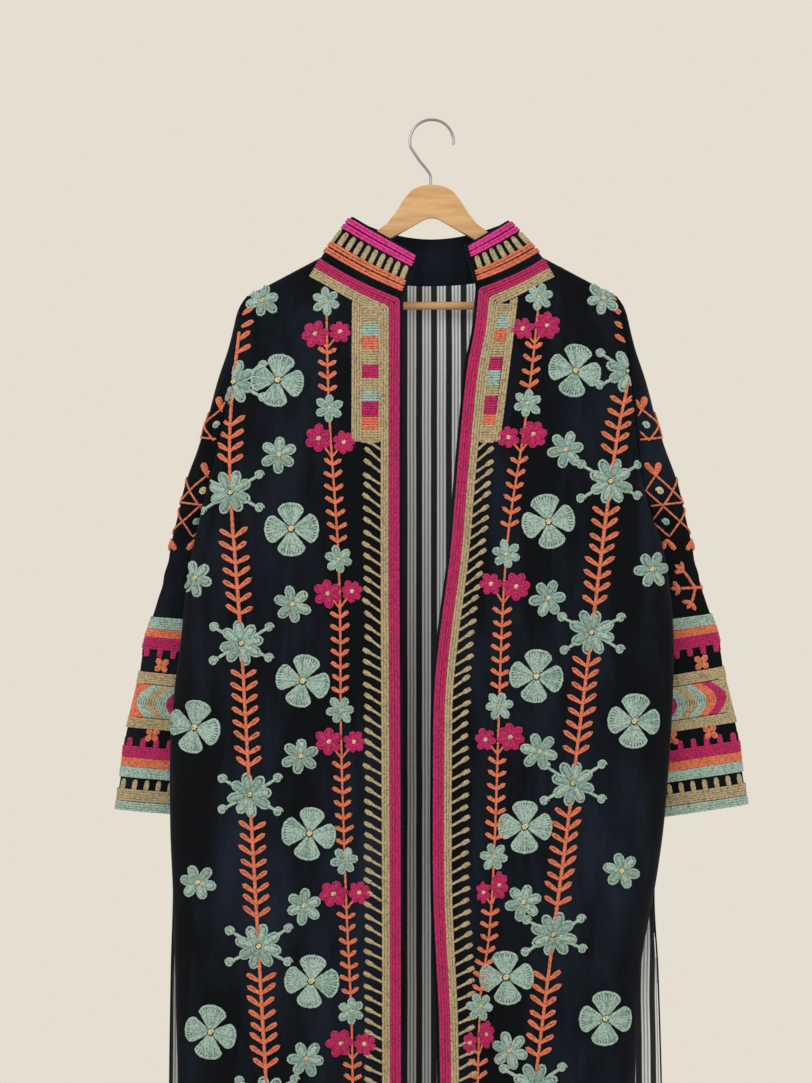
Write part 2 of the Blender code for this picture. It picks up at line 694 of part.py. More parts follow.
def make_hanger_bar(collection):
    bpy.ops.mesh.primitive_cylinder_add(vertices=ROUND_SIDES, radius=BAR_RADIUS, depth=2.0 * BAR_HALF,
                                        location=(0.0, 0.0, BAR_Z),
                                        rotation=(0.0, math.pi / 2.0, 0.0))
    made = bpy.context.object
    made.name = "hanger_bar"
    made.data.materials.append(material("beech"))
    made.data.shade_smooth()
    made.data.set_sharp_from_angle(angle=math.radians(40))
    for owner in list(made.users_collection):
        owner.objects.unlink(made)
    collection.objects.link(made)


def hook_points():
    """The hook's bow, its slanted neck and its stem, in the plane of the hanger."""
    centre_z = WIRE_RADIUS - HOOK_RADIUS
    points = []
    for step in range(HOOK_SPANS + 1):
        angle = math.radians(mix(*HOOK_TURN, step / HOOK_SPANS))
        points.append((HOOK_RADIUS * math.cos(angle), centre_z + HOOK_RADIUS * math.sin(angle)))
    return points + list(HOOK_NECK)


def make_hanger_hook(collection):
    curve = bpy.data.curves.new("hanger_hook", "CURVE")
    curve.dimensions = "3D"
    curve.bevel_depth = WIRE_RADIUS
    curve.bevel_resolution = 2
    curve.use_fill_caps = True
    spline = curve.splines.new("POLY")
    points = hook_points()
    spline.points.add(len(points) - 1)
    for point, (x, z) in zip(spline.points, points):
        point.co = (x, 0.0, z, 1.0)
    curve.materials.append(material("chrome"))
    made = bpy.data.objects.new("hanger_hook", curve)
    collection.objects.link(made)


def main():
    clear_scene()
    parts = new_collection("chapan_robe")
    cutters = new_collection("cutters")
    make_fronts(parts)
    make_back(parts)
    make_collar(parts)
    make_sleeves(parts)
    make_hanger_body(parts, cutters)
    make_hanger_bar(parts)
    make_hanger_hook(parts)


main()
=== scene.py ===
"""Looks of an embroidered velvet robe on a wooden hanger.

Metres, +Z up, the front faces -Y and +X is to the viewer's right. The cloth follows the surfaces of
the model's own solids; the stitches are laid on the cloth row by row.
"""

import math
import random

import bmesh
import bpy
from bpy.props import FloatProperty, FloatVectorProperty, IntProperty, PointerProperty
from bpy.types import Operator, Panel, PropertyGroup
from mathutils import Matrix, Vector


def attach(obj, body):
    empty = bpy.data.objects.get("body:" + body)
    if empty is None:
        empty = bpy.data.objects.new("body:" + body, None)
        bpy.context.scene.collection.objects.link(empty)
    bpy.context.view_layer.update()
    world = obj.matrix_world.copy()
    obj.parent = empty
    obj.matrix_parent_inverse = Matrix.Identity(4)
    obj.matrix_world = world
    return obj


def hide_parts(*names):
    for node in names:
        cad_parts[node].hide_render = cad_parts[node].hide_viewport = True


bl_info = {
    "name": "Embroidered velvet robe",
    "version": (1, 0, 0),
    "blender": (4, 5, 0),
    "location": "3D View > Sidebar > Robe",
    "description": "Velvet, striped lining, chain stitch and wooden hanger for a long open robe",
    "category": "Object",
}

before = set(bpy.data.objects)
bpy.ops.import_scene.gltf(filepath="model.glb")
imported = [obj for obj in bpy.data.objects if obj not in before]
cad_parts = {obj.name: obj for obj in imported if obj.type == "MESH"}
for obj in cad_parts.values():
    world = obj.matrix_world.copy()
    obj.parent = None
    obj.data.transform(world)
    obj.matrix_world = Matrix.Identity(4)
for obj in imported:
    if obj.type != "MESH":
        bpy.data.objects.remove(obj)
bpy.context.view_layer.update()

# The robe and its hanger in metres, as their own solids have them: cloth and seams
CLOTH = 0.0020
COLLAR_CLOTH = 0.0025
LINING_CLOTH = 0.0010
SEAM_GAP = 0.0003
ARMHOLE_GAP = 0.0009
LINING_GAP = 0.0007
# Shoulders, which lie on the hanger's arms, and the sides down to the hem
SHOULDER_TIP_X = 0.222
SHOULDER_PEAK_Z = -0.0943
SHOULDER_SLOPE = 0.53
SHOULDER_ROUND = 0.0105
NECK_X = 0.134
UNDERARM_Z = -0.470
SLIT_Z = -0.930
SLIT_FADE = 0.20
SLIT_OPEN = 0.012
HEM_Z = -1.340
# Depth of the body in front of and behind the hanger
FRONT_SWELL = 0.035
FRONT_SWELL_DROP = 0.16
FRONT_SIDE_ROUND = 0.080
BACK_SWELL = 0.0135
BACK_SWELL_DROP = 0.12
BACK_SIDE_ROUND = 0.140
ARMHOLE_SWELL = 0.012
ARMHOLE_FULLNESS = 0.7
ARMHOLE_CLOSING = 4
# Neckline and collar
FRONT_NECK_Z = {-1: -0.218, 1: -0.204}
NECK_SAG = 0.003
BACK_NECK_Z = -0.197
BACK_NECK_CURVE = 2.5
COLLAR_SIDE_TOP = {-1: (0.0975, -0.1165), 1: (0.0935, -0.1210)}
COLLAR_END_TOP = {-1: (-0.016, -0.168), 1: (0.040, -0.156)}
COLLAR_BACK_TOP_Z = -0.140
COLLAR_LEAN = 0.007
BAND_ZONE = 0.062
# Hanger
WOOD_HALF = 0.006
WOOD_ROUND = 0.0035
WOOD_CORNER = 0.006
WIRE_RADIUS = 0.00175
HOOK_RADIUS = 0.0265
HOOK_TURN = (-9.0, 197.0)
HOOK_SPANS = 20
STEM_X = -0.0012
STEM_END_Z = -0.0915
HOOK_NECK = (
    (-0.0150, -0.0480), (-0.0048, -0.0605), (-0.0020, -0.0645), (STEM_X, -0.0690), (STEM_X, -0.0800),
    (STEM_X, STEM_END_Z))
# Outlines of the hanging body seen from the front: columns z, x
LEFT_SIDE = (
    (-0.212, -0.2220), (-0.228, -0.2290), (-0.331, -0.2440), (-0.425, -0.2660), (-0.470, -0.2780),
    (-0.515, -0.2895), (-0.571, -0.2985), (-0.632, -0.3050), (-0.696, -0.3130), (-0.758, -0.3175),
    (-0.857, -0.3175), (-0.930, -0.3145), (-1.160, -0.3070), (-1.340, -0.3040))
RIGHT_SIDE = (
    (-0.212, 0.2220), (-0.228, 0.2290), (-0.331, 0.2410), (-0.425, 0.2520), (-0.470, 0.2640),
    (-0.515, 0.2800), (-0.571, 0.2895), (-0.632, 0.2940), (-0.704, 0.2925), (-0.780, 0.2880),
    (-0.857, 0.2815), (-0.930, 0.2710), (-1.007, 0.2560), (-1.072, 0.2485), (-1.340, 0.2430))
LEFT_BACK_SIDE = LEFT_SIDE[:12] + ((-1.030, -0.3170), (-1.160, -0.3190), (-1.340, -0.3200))
RIGHT_BACK_SIDE = RIGHT_SIDE[:12] + ((-1.030, 0.2755), (-1.160, 0.2795), (-1.340, 0.2820))
LEFT_EDGE = ((-0.218, -0.0348), (-0.500, -0.0355), (-0.900, -0.0340), (-1.340, -0.0335))
RIGHT_EDGE = (
    (-0.204, 0.0528), (-0.260, 0.0468), (-0.298, 0.0390), (-0.359, 0.0324), (-0.439, 0.0252),
    (-0.526, 0.0180), (-0.619, 0.0060), (-0.691, -0.0010), (-0.773, -0.0024), (-0.929, -0.0022),
    (-1.007, 0.0012), (-1.085, 0.0048), (-1.340, 0.0080))
# Largest folds: columns top x, hem x, top z, low z, depth (positive is a trough), half width
FRONT_FOLDS = (
    (-0.098, -0.092, -0.42, -1.50, 0.0075, 0.017),
    (-0.195, -0.215, -0.62, -1.50, -0.0060, 0.034),
    (-0.262, -0.268, -0.75, -1.50, 0.0050, 0.020),
    (0.110, 0.100, -0.36, -1.05, -0.0060, 0.026),
    (0.070, 0.066, -0.90, -1.50, 0.0075, 0.016),
    (0.205, 0.185, -0.60, -1.50, 0.0060, 0.024))
BACK_FOLDS = (
    (-0.165, -0.205, -0.55, -1.50, 0.0070, 0.028),
    (-0.070, -0.085, -0.40, -1.50, -0.0080, 0.030),
    (0.030, 0.035, -0.48, -1.50, 0.0080, 0.026),
    (0.120, 0.150, -0.38, -1.50, -0.0070, 0.030),
    (0.200, 0.225, -0.70, -1.50, 0.0060, 0.022))
# Sleeve lines: columns level, outer x, inner fold x from the underarm, y of the inner fold, middle y,
# half depth in front, half depth behind; the first row closes the sleeve's top, the last is the cuff
SLEEVE_LINES = (
    (-0.2125, 0.2240, 0.0000, 0.0000, 0.0000, 0.0005, 0.0005),
    (-0.229, 0.2345, 0.0000, 0.0000, 0.0000, 0.0020, 0.0020),
    (-0.258, 0.2420, 0.0000, 0.0000, 0.0000, 0.0060, 0.0070),
    (-0.310, 0.2560, 0.0000, 0.0000, 0.0000, 0.0100, 0.0140),
    (-0.370, 0.2760, 0.0000, 0.0000, 0.0010, 0.0120, 0.0220),
    (-0.434, 0.2960, 0.0000, 0.0000, 0.0040, 0.0110, 0.0250),
    (-0.470, 0.3065, 0.0000, 0.0000, 0.0090, 0.0105, 0.0265),
    (-0.485, 0.3110, 0.0040, 0.0110, 0.0125, 0.0095, 0.0275),
    (-0.510, 0.3180, 0.0000, 0.0190, 0.0200, 0.0085, 0.0285),
    (-0.550, 0.3285, -0.0140, 0.0260, 0.0270, 0.0080, 0.0290),
    (-0.590, 0.3380, -0.0300, 0.0290, 0.0290, 0.0080, 0.0280),
    (-0.668, 0.3570, -0.0540, 0.0290, 0.0290, 0.0080, 0.0260),
    (-0.748, 0.3730, -0.0560, 0.0290, 0.0290, 0.0080, 0.0210),
    (-0.845, 0.3871, -0.0410, 0.0290, 0.0290, 0.0080, 0.0150))
# Lower sections tilt: their outer end is higher by this much
SLEEVE_TILT = {-1: 0.012, 1: 0.024}
TILT_START_Z = -0.55
TILT_FADE = 0.10
# Powers of a section's bulge: sharp beside the armhole, blunt below it
SLEEVE_SHARP = 1.6
SLEEVE_BLUNT = 0.8
# Sections are half ellipses beside the armhole and close towards the underarm from here
SECTION_CLOSING_Z = -0.40
# Creases across a sleeve: columns level, depth, half width
SLEEVE_CREASES = ((-0.415, 0.0025, 0.018), (-0.530, -0.0022, 0.021), (-0.575, 0.0022, 0.015))
# Right half of the hanger's outline: columns x, z
WOOD_TOP = (
    (0.000, -0.0780), (0.012, -0.0792), (0.024, -0.0845), (0.034, -0.0960), (0.043, -0.1110),
    (0.054, -0.1250), (0.070, -0.1370))
WOOD_LOW = (
    (0.2120, -0.2123), (0.2160, -0.2180), (0.2150, -0.2320), (0.2090, -0.2355), (0.2000, -0.2345),
    (0.1850, -0.2170), (0.0600, -0.1485), (0.0200, -0.1262), (0.0080, -0.1190),
    (0.0000, -0.1172))

# Soft creases that only the cloth shows: columns x, z at the top, x, z at the bottom, depth, half width
FRONT_CREASES = (
    (-0.196, -0.214, -0.150, -0.330, 0.0022, 0.009), (-0.150, -0.200, -0.135, -0.330, -0.0012, 0.012),
    (0.196, -0.214, 0.158, -0.400, 0.0024, 0.009), (0.142, -0.300, 0.120, -0.560, -0.0016, 0.012),
    (-0.262, -0.480, -0.190, -0.560, 0.0018, 0.010), (-0.285, -0.640, -0.215, -0.700, -0.0014, 0.012),
    (0.262, -0.540, 0.165, -0.560, 0.0022, 0.008), (0.280, -0.585, 0.205, -0.615, 0.0018, 0.009),
    (0.268, -0.680, 0.190, -0.660, -0.0015, 0.010), (0.245, -0.900, 0.200, -0.960, 0.0016, 0.010),
    (-0.145, -0.560, -0.150, -0.980, 0.0016, 0.014), (0.160, -0.700, 0.150, -1.200, -0.0018, 0.013),
    (-0.245, -0.900, -0.240, -1.330, -0.0020, 0.015), (0.215, -1.000, 0.205, -1.330, 0.0022, 0.014))
BACK_CREASES = (
    (-0.196, -0.214, -0.140, -0.380, 0.0024, 0.010), (0.190, -0.212, 0.150, -0.420, 0.0022, 0.010),
    (-0.240, -0.480, -0.130, -0.560, 0.0020, 0.011), (0.235, -0.500, 0.150, -0.590, 0.0018, 0.010),
    (-0.020, -0.300, -0.030, -0.900, -0.0016, 0.014), (0.090, -0.620, 0.080, -1.250, 0.0020, 0.014),
    (-0.200, -0.800, -0.230, -1.330, -0.0018, 0.015), (0.160, -0.900, 0.190, -1.330, -0.0020, 0.014))
CREASE_STRENGTH = 1.4
CREASE_END = 0.03
CREASE_FADE = 0.3
# Small waves over all the cloth: depth, then the x and z turns a metre of two sines that multiply
CLOTH_WAVES = ((0.0009, 29.0, 5.0, 11.0, 17.0), (0.0005, 71.0, -9.0, 0.0, 43.0))
BORDER_FADE = 0.030
# The free front edge keeps a little of them
EDGE_ROOM = 0.004
# Waves round a sleeve: depth, waves in a turn, phase a metre down; its dents: level, slant, depth, half width
SLEEVE_WAVES = ((0.0011, 2.0, 38.0), (0.0008, 3.0, -61.0))
SLEEVE_DENTS = ((-0.505, 0.030, 0.0018, 0.012), (-0.585, -0.020, 0.0016, 0.010))
SLEEVE_CALM_Z = -0.250
SLEEVE_CALM_FADE = 0.06
CALM_BELOW_UNDERARM = 0.03

# Stitches keep this far from the seams, the top edge and the hem
FRONT_SEAM_MARGIN = 0.0012
BACK_SEAM_MARGIN = 0.0015
TOP_MARGIN = 0.0008
HEM_MARGIN = 0.002
ARMHOLE_MARGIN_TURN = 0.12
COLLAR_MARGIN = 0.0030
# Steps for a surface's slope: on the body, round a sleeve and down it, along the collar and up it
SLOPE_STEP = 0.0008
TURN_STEP = 0.01
LEVEL_STEP = 0.001
COLLAR_STEP = 0.004
COLLAR_RISE = 0.02
RING_SPANS = 40

# Lines that the columns of motifs follow on the left and the right front: z, x
MOTIF_LINES = {
    -1: {
        "small_vine": ((-0.20, -0.1275), (-0.36, -0.1225), (-0.54, -0.1115), (-0.75, -0.1090),
                       (-0.94, -0.1030), (-1.10, -0.0960), (-1.34, -0.0940)),
        "flowers": ((-0.30, -0.1840), (-0.50, -0.1670), (-0.67, -0.1530), (-1.34, -0.1380)),
        "large_vine": ((-0.22, -0.2310), (-0.26, -0.2325), (-0.32, -0.2380), (-0.38, -0.2415),
                       (-0.45, -0.2405), (-0.64, -0.2270), (-1.34, -0.1870)),
        "side": ((-0.54, -0.2860), (-0.92, -0.2800), (-1.12, -0.2640), (-1.34, -0.2600)),
    },
    1: {
        "small_vine": ((-0.20, 0.1310), (-0.36, 0.1120), (-0.53, 0.0880), (-0.87, 0.0745),
                       (-0.98, 0.0680), (-1.06, 0.0570), (-1.34, 0.0520)),
        "flowers": ((-0.30, 0.1720), (-0.48, 0.1400), (-0.66, 0.1260), (-0.84, 0.1130),
                    (-1.02, 0.0900), (-1.34, 0.0740)),
        "large_vine": ((-0.22, 0.2340), (-0.31, 0.2355), (-0.37, 0.2235), (-0.44, 0.2125), (-0.62, 0.1900),
                       (-1.34, 0.0990)),
        "side": ((-0.54, 0.2630), (-0.72, 0.2430), (-0.90, 0.2270), (-1.34, 0.1800)),
    },
}
# The same for the back's right half, which the left half mirrors
BACK_LINES = {
    "small_vine": ((-0.20, 0.0400), (-1.34, 0.0460)),
    "flowers": ((-0.20, 0.1050), (-1.34, 0.1160)),
    "large_vine": ((-0.20, 0.1700), (-1.34, 0.1900)),
    "side": ((-0.30, 0.2250), (-1.34, 0.2550)),
}
REPEAT = 0.180
# How far a motif strays from its line and its repeat, and where the motifs and the vines end
STRAY_X, STRAY_Z = 0.002, 0.003
MOTIF_END_Z = HEM_Z + 0.028
VINE_END_Z = HEM_Z + 0.006
# First motif of each line on the left front, the right front and the back
FIRST_Z = {
    -1: {"small_vine": -0.352, "flowers": -0.317, "large_vine": -0.452, "side": -0.556},
    1: {"small_vine": -0.346, "flowers": -0.309, "large_vine": -0.439, "side": -0.545},
    0: {"small_vine": -0.388, "flowers": -0.300, "large_vine": -0.390, "side": -0.480},
}
# Reach of each kind of flower from its middle
BROAD_SIZE = 0.0315
LOOPED_SIZE = 0.0215
LOOPED_SHIFT = 0.008
BURST_SIZE = 0.0265
VINE_FLOWER_SIZE = 0.0165
CRIMSON_SIZES = (0.0128, 0.0160)
SHOULDER_FLOWER_SIZE = 0.0200
# The shoulders' flowers: share of the first broad flower's x, and z
SHOULDER_FLOWERS = {-1: (1.11, -0.2195), 1: (1.205, -0.2165)}
# Vines: leaf length, leaf width, radius of the stem
SMALL_LEAVES = (0.0130, 0.0040, 0.0015)
LARGE_LEAVES = (0.0195, 0.0052, 0.0022)
LEAF_PITCH = 0.0150
LEAF_LEAN = 0.98
STEM_SPAN = 0.004
STEM_GAP = 0.010
# A vine bears no leaves this far above and below each flower on it
SMALL_BARE = (0.018, 0.062)
LARGE_BARE = (0.022, 0.040)
# Each vine's first flower stands this far above the ones that repeat
SMALL_FIRST_RISE = 0.130
LARGE_FIRST_RISE = 0.133
SMALL_REPEATS, LARGE_REPEATS = 7, 6
SMALL_TOP_DROP, LARGE_TOP_RISE = 0.01, 0.09
# The fork under a small vine's flower, the pair of crimson flowers on it, and how a fold narrows that pair
FORK_DROP = 0.058
PAIR_DROP = 0.038
PAIR_SPREAD = 0.0142
PAIR_END_Z = HEM_Z + 0.02
FOLD_SQUASH, FOLD_TOP_Z, FOLD_FADE, FOLD_SHIFT = 0.62, -0.80, 0.08, 0.016

# Rows of thread lie this far apart; radius of those in bands and in filled patches
ROW_PITCH = 0.0031
BAND_RADIUS = 0.00175
FILL_RADIUS = 0.0017
# Spans of the rows along the necklines, and the step of those down an edge
NECK_SPANS, BACK_NECK_SPANS, EDGE_SPAN = 12, 40, 0.02
# Rows lie farther from the neckline than from the front edge, by these factors
FRONT_NECK_WIDEN, BACK_NECK_WIDEN = 1.13, 1.05
# Rows of the front edges as distances from the edge, with their thread
EDGE_ROWS = (
    (0.0052, "crimson"), (0.0083, "crimson"), (0.0118, "crimson"), (0.0149, "crimson"),
    (0.0181, "sand"), (0.0212, "sand"), (0.0243, "sand"))
# Rows beside the plaque's squares, the squares' own reach, and the row that ends with the plaque
PLAQUE_ROWS = {-1: (0.0500, 0.0531, 0.0562, 0.0593), 1: (0.0440, 0.0471, 0.0502)}
PLAQUE_SQUARES = {-1: (0.0285, 0.0490), 1: (0.0280, 0.0440)}
PLAQUE_ROW = 0.0274
PLAQUE_LOW_Z = -0.3915
PLAQUE_HIGH_Z = -0.225
PLAQUE_ROWS_DROP = 0.0325
PLAQUE_SQUARES_DROP = 0.0295
# Slanted stalks beside the front edges: distance from the edge, reach, rise at the top and at the hem, pitch
STALK_START = 0.0255
STALK_REACH = 0.0190
STALK_RISE = (0.0145, 0.0075)
STALK_PITCH = 0.0137
STALK_TOP_Z = PLAQUE_LOW_Z - 0.010
STALK_END_Z = HEM_Z + 0.012
# Colours across the plaque's squares, from each height down
PLAQUE_COLOURS = {
    -1: ((-0.200, "sand"), (-0.249, "teal"), (-0.265, "coral"), (-0.280, "sand"), (-0.299, "crimson"),
         (-0.315, "sand"), (-0.331, "teal"), (-0.344, "crimson"), (-0.362, "coral"), (-0.377, "sand")),
    1: ((-0.190, "sand"), (-0.241, "teal"), (-0.256, "coral"), (-0.271, "sand"), (-0.290, "crimson"),
        (-0.305, "teal"), (-0.325, "sand"), (-0.338, "crimson"), (-0.359, "coral"), (-0.371, "sand")),
}
# Rows round the collar as shares of its height, and the bars between them
COLLAR_ROWS = (
    (0.13, "coral"), (0.19, "coral"), (0.27, "coral"), (0.33, "coral"),
    (0.72, "pink"), (0.78, "pink"), (0.86, "pink"), (0.92, "pink"))
COLLAR_BAR_SHARES = (0.36, 0.655)
COLLAR_BAR_START, COLLAR_BAR_END = 0.009, 0.006
COLLAR_BAR_PITCH = 0.0112
COLLAR_BAR_HALF = 0.0019
COLLAR_SPANS = 240
# Bands round the sleeves: top level, bottom level, thread
SLEEVE_ROWS = (
    (-0.608, -0.620, "teal"), (-0.623, -0.631, "coral"), (-0.634, -0.646, "crimson"),
    (-0.677, -0.688, "sand"), (-0.733, -0.743, "sand"), (-0.768, -0.779, "crimson"),
    (-0.782, -0.790, "coral"), (-0.793, -0.803, "teal"), (-0.820, -0.8315, "sand"),
    (-0.835, -0.8435, "teal"))
RING_MARGIN = 0.0005
# Bent rows round the sleeves: levels, reach, first place, bends of a row, rows of a colour, filled corners
CHEVRON_TOP, CHEVRON_LOW, CHEVRON_REACH = -0.6905, -0.7305, 0.016
CHEVRON_START, CHEVRON_MARGIN = 0.010, 0.004
CHEVRON_BENDS = 8
CHEVRON_ROWS = 4
CORNER_ROWS = 7
CHEVRON_THREADS = {-1: ("coral", "teal", "sand", "teal", "crimson", "sand"),
                   1: ("sand", "crimson", "coral", "teal", "sand", "teal", "crimson")}
# Teeth and bars are counted round the sleeve at this level, the first this far from the outer fold
COUNT_Z = -0.70
COUNT_START = 0.008
# Teeth of the crimson bands: levels of base and tip; flowers beside every third: level, shift
TEETH = ((-0.647, -0.656), (-0.767, -0.757))
TOOTH_PITCH = 0.0165
TOOTH_FLOWERS = ((-0.666, 0.004), (-0.7515, 0.010))
TOOTH_FLOWER_SIZE = 0.0096
# Bars of the cuffs: levels of the base, the shoulders and the tip
CUFF_BAR = (-0.8185, -0.8085, -0.8065)
CUFF_BAR_PITCH = 0.0145
# Lattices of the sleeves: level of the first row, with the thread of each row's knots
LATTICES = ((-0.370, ("teal",)), (-0.449, ("cream", "teal")))
DIAMOND_HALF_HEIGHT = 0.0185
DIAMOND_HALF_WIDTH = 0.017
DIAMOND_START = 0.032
LATTICE_COLUMNS = 3
LATTICE_REACH = 0.10
# Leaves that hang under the lattices and stand above them: lengths round the sleeve, level
PENDANT_PLACES, PENDANT_Z = (0.004, 0.036, 0.070), -0.508
UPPER_LEAF_PLACE, UPPER_LEAF_Z, UPPER_LEAF_PITCH = 0.055, -0.300, 0.015
# The right sleeve's sprig: level, and of each branch the root, the end and the turn
SPRIG_Z = -0.568
SPRIG = ((0.0, (0.027, -0.568), 0.0), (0.007, (0.021, -0.547), 0.75), (0.007, (0.019, -0.587), -0.75))

# Threads and cloths, as they look in daylight
HEX = {
    # The velvet's lighter colour is painted sheen on its pile
    "velvet": "#070a10", "velvet_painted_sheen": "#192130", "teal": "#a8c5bd", "teal_shade": "#8fb0a9",
    "coral": "#e5805f", "crimson": "#c3246a", "pink": "#e9379f", "sand": "#bdac88", "cream": "#e4d6a8",
    "lining_dark": "#1d2028", "lining_grey": "#a2a8ba", "lining_white": "#f3f5fb",
    "beech_light": "#d1a876", "beech_dark": "#b98a57", "steel": "#9a9ca0", "wall": "#e6dfd1",
}
THREADS = ("teal", "teal_shade", "coral", "crimson", "pink", "sand", "cream")

# The back's stitches are longer than the others by this factor
BACK_STITCH = 1.5
# Columns and rows of the sheets of cloth; the settings give the long panels' rows
FRONT_COLUMNS, BACK_COLUMNS, LINING_COLUMNS = 54, 84, 80
SLEEVE_COLUMNS, SLEEVE_ROWS_DOWN = 60, 100
COLLAR_COLUMNS, COLLAR_ROWS_UP = 150, 16
# Shares of a front's columns beside the armhole and of a sleeve's rows above the underarm
ARMHOLE_SHARE = 0.27
SLEEVE_TOP_SHARE = 0.4
ROW_CROWDING = 1.45
# The collar's lower edge is turned in below its seam by a share of its height, and behind the neckline
COLLAR_TURN_IN, COLLAR_TURN_LIFT = -0.045, -0.0009

# Lamps: name, place, size, watts; all aim at the middle of the robe
LAMPS = (
    ("key", (-1.5, -2.4, 1.0), 1.8, 34.0), ("fill", (1.8, -2.2, 0.1), 2.2, 14.0),
    ("behind", (0.4, 2.4, 0.8), 2.2, 16.0))
LAMP_AIM = (0.0, 0.0, -0.6)
# Floor: width, depth, middle y, drop below the hem
FLOOR = (7.0, 4.6, -1.5, 0.10)
# Camera: the middle of the photo at the cloth, and the height of its sensor in millimetres
CAMERA_AIM = (-0.0312, -0.030, -0.5106)
SENSOR_HEIGHT = 24.0


def smooth(value):
    """Eases from 0 to 1, level at both ends."""
    value = min(max(value, 0.0), 1.0)
    return value * value * (3.0 - 2.0 * value)


def mix(start, end, share):
    """Value at a share of the way from start to end."""
    return start + (end - start) * share


def read_curve(table, place, column=1):
    """Smooth curve through a table whose first column falls, held level past its ends."""
    if place >= table[0][0]:
        return table[0][column]
    if place <= table[-1][0]:
        return table[-1][column]
    last = len(table) - 1
    row = next(i for i in range(last) if table[i + 1][0] <= place)
    before, start = table[max(row - 1, 0)], table[row]
    end, after = table[row + 1], table[min(row + 2, last)]
    span = end[0] - start[0]
    share = (place - start[0]) / span
    slope_in = (end[column] - before[column]) / (end[0] - before[0]) * span
    slope_out = (after[column] - start[column]) / (after[0] - start[0]) * span
    square, cube = share ** 2, share ** 3
    return ((2 * cube - 3 * square + 1) * start[column] + (cube - 2 * square + share) * slope_in
            + (3 * square - 2 * cube) * end[column] + (cube - square) * slope_out)


def shoulder_z(x):
    """Height of the shoulder line."""
    return SHOULDER_PEAK_Z - SHOULDER_SLOPE * abs(x)


def over_hanger(drop):
    """Half thickness of the cloth where it bends over the hanger's arm."""
    rest = 1.0 - min(max(drop, 0.0) / SHOULDER_ROUND, 1.0)
    return SHOULDER_ROUND * math.sqrt(1.0 - rest * rest)


def round_side(distance, width):
    """Quarter ellipse from 0 at the side seam to 1 where the panel lies flat."""
    rest = 1.0 - min(max(distance, 0.0) / width, 1.0)
    return math.sqrt(1.0 - rest * rest)


def armhole_depth(drop, z):
    """Half opening of the armhole: nothing at the shoulder, the underarm and below it."""
    share = (shoulder_z(SHOULDER_TIP_X) - z) / (shoulder_z(SHOULDER_TIP_X) - UNDERARM_Z)
    if share >= 1.0:
        return 0.0
    share = max(share, 0.0)
    swell = ARMHOLE_SWELL * math.sin(math.pi * share) ** ARMHOLE_FULLNESS
    return (over_hanger(drop) + swell) * math.sqrt(1.0 - share ** ARMHOLE_CLOSING)


def fold_depth(folds, x, z):
    """Depth of all the folds at one place, each fading in and out along its length."""
    total = 0.0
    for top_x, hem_x, top_z, low_z, depth, half_width in folds:
        share = (top_z - z) / (top_z - low_z)
        fade = smooth(share * 4.0) * smooth((1.0 - share) * 4.0)
        middle = mix(top_x, hem_x, share)
        total += depth * fade * math.exp(-((x - middle) / half_width) ** 2)
    return total


def body_y(x, z, distance, front):
    """Depth of the body's outer face: negative in front, positive behind."""
    drop = shoulder_z(x) - z
    if front:
        swell = FRONT_SWELL * smooth(drop / FRONT_SWELL_DROP)
        flat = round_side(distance, FRONT_SIDE_ROUND)
        folds = FRONT_FOLDS
    else:
        swell = BACK_SWELL * smooth(drop / BACK_SWELL_DROP)
        flat = round_side(distance, BACK_SIDE_ROUND)
        folds = BACK_FOLDS
    side = armhole_depth(drop, z)
    if front:
        side += SLIT_OPEN * smooth((SLIT_Z - z) / SLIT_FADE)
    depth = side * (1.0 - flat) + (over_hanger(drop) + swell - fold_depth(folds, x, z)) * flat
    gap = SEAM_GAP / 2.0
    return -(depth + gap) if front else depth + gap


def front_neck_z(x, side):
    """The neckline falls from the neck point to the front edge."""
    end_x = (LEFT_EDGE if side < 0 else RIGHT_EDGE)[0][1]
    share = (NECK_X - abs(x)) / (NECK_X - abs(end_x))
    start_z = shoulder_z(NECK_X)
    sag = NECK_SAG * math.sin(math.pi * min(max(share, 0.0), 1.0))
    return mix(start_z, FRONT_NECK_Z[side], share) - sag


def back_neck_z(x):
    rise = (abs(x) / NECK_X) ** BACK_NECK_CURVE
    return mix(BACK_NECK_Z, shoulder_z(NECK_X), rise)


def top_z(x, side, front):
    if abs(x) >= NECK_X:
        return shoulder_z(x)
    return front_neck_z(x, side) if front else back_neck_z(x)


def column_start(x_at, side, front):
    """Top of a column, where its line meets the shoulder or the neckline."""
    z = shoulder_z(SHOULDER_TIP_X)
    for _ in range(6):
        z = top_z(x_at(z), side, front)
    return z


def front_x(column, z, side):
    """Columns 0 to 1 round the side, 1 to 2 cross the panel, 2 to 3 are the banded edge."""
    seam = read_curve(LEFT_SIDE if side < 0 else RIGHT_SIDE, z)
    edge = read_curve(LEFT_EDGE if side < 0 else RIGHT_EDGE, z)
    inward = -side
    flat = seam + inward * FRONT_SIDE_ROUND
    band = edge - inward * BAND_ZONE
    if column <= 1.0:
        return seam + inward * FRONT_SIDE_ROUND * (1.0 - math.cos(column * math.pi / 2.0))
    if column <= 2.0:
        return mix(flat, band, column - 1.0)
    return mix(band, edge, column - 2.0)


def back_x(column, z):
    """Columns 0 to 1 round the left side, 1 to 3 cross the back, 3 to 4 round the right side."""
    left = read_curve(LEFT_BACK_SIDE, z)
    right = read_curve(RIGHT_BACK_SIDE, z)
    if column <= 1.0:
        return left + BACK_SIDE_ROUND * (1.0 - math.cos(column * math.pi / 2.0))
    if column >= 3.0:
        return right - BACK_SIDE_ROUND * (1.0 - math.cos((4.0 - column) * math.pi / 2.0))
    return mix(left + BACK_SIDE_ROUND, right - BACK_SIDE_ROUND, (column - 1.0) / 2.0)


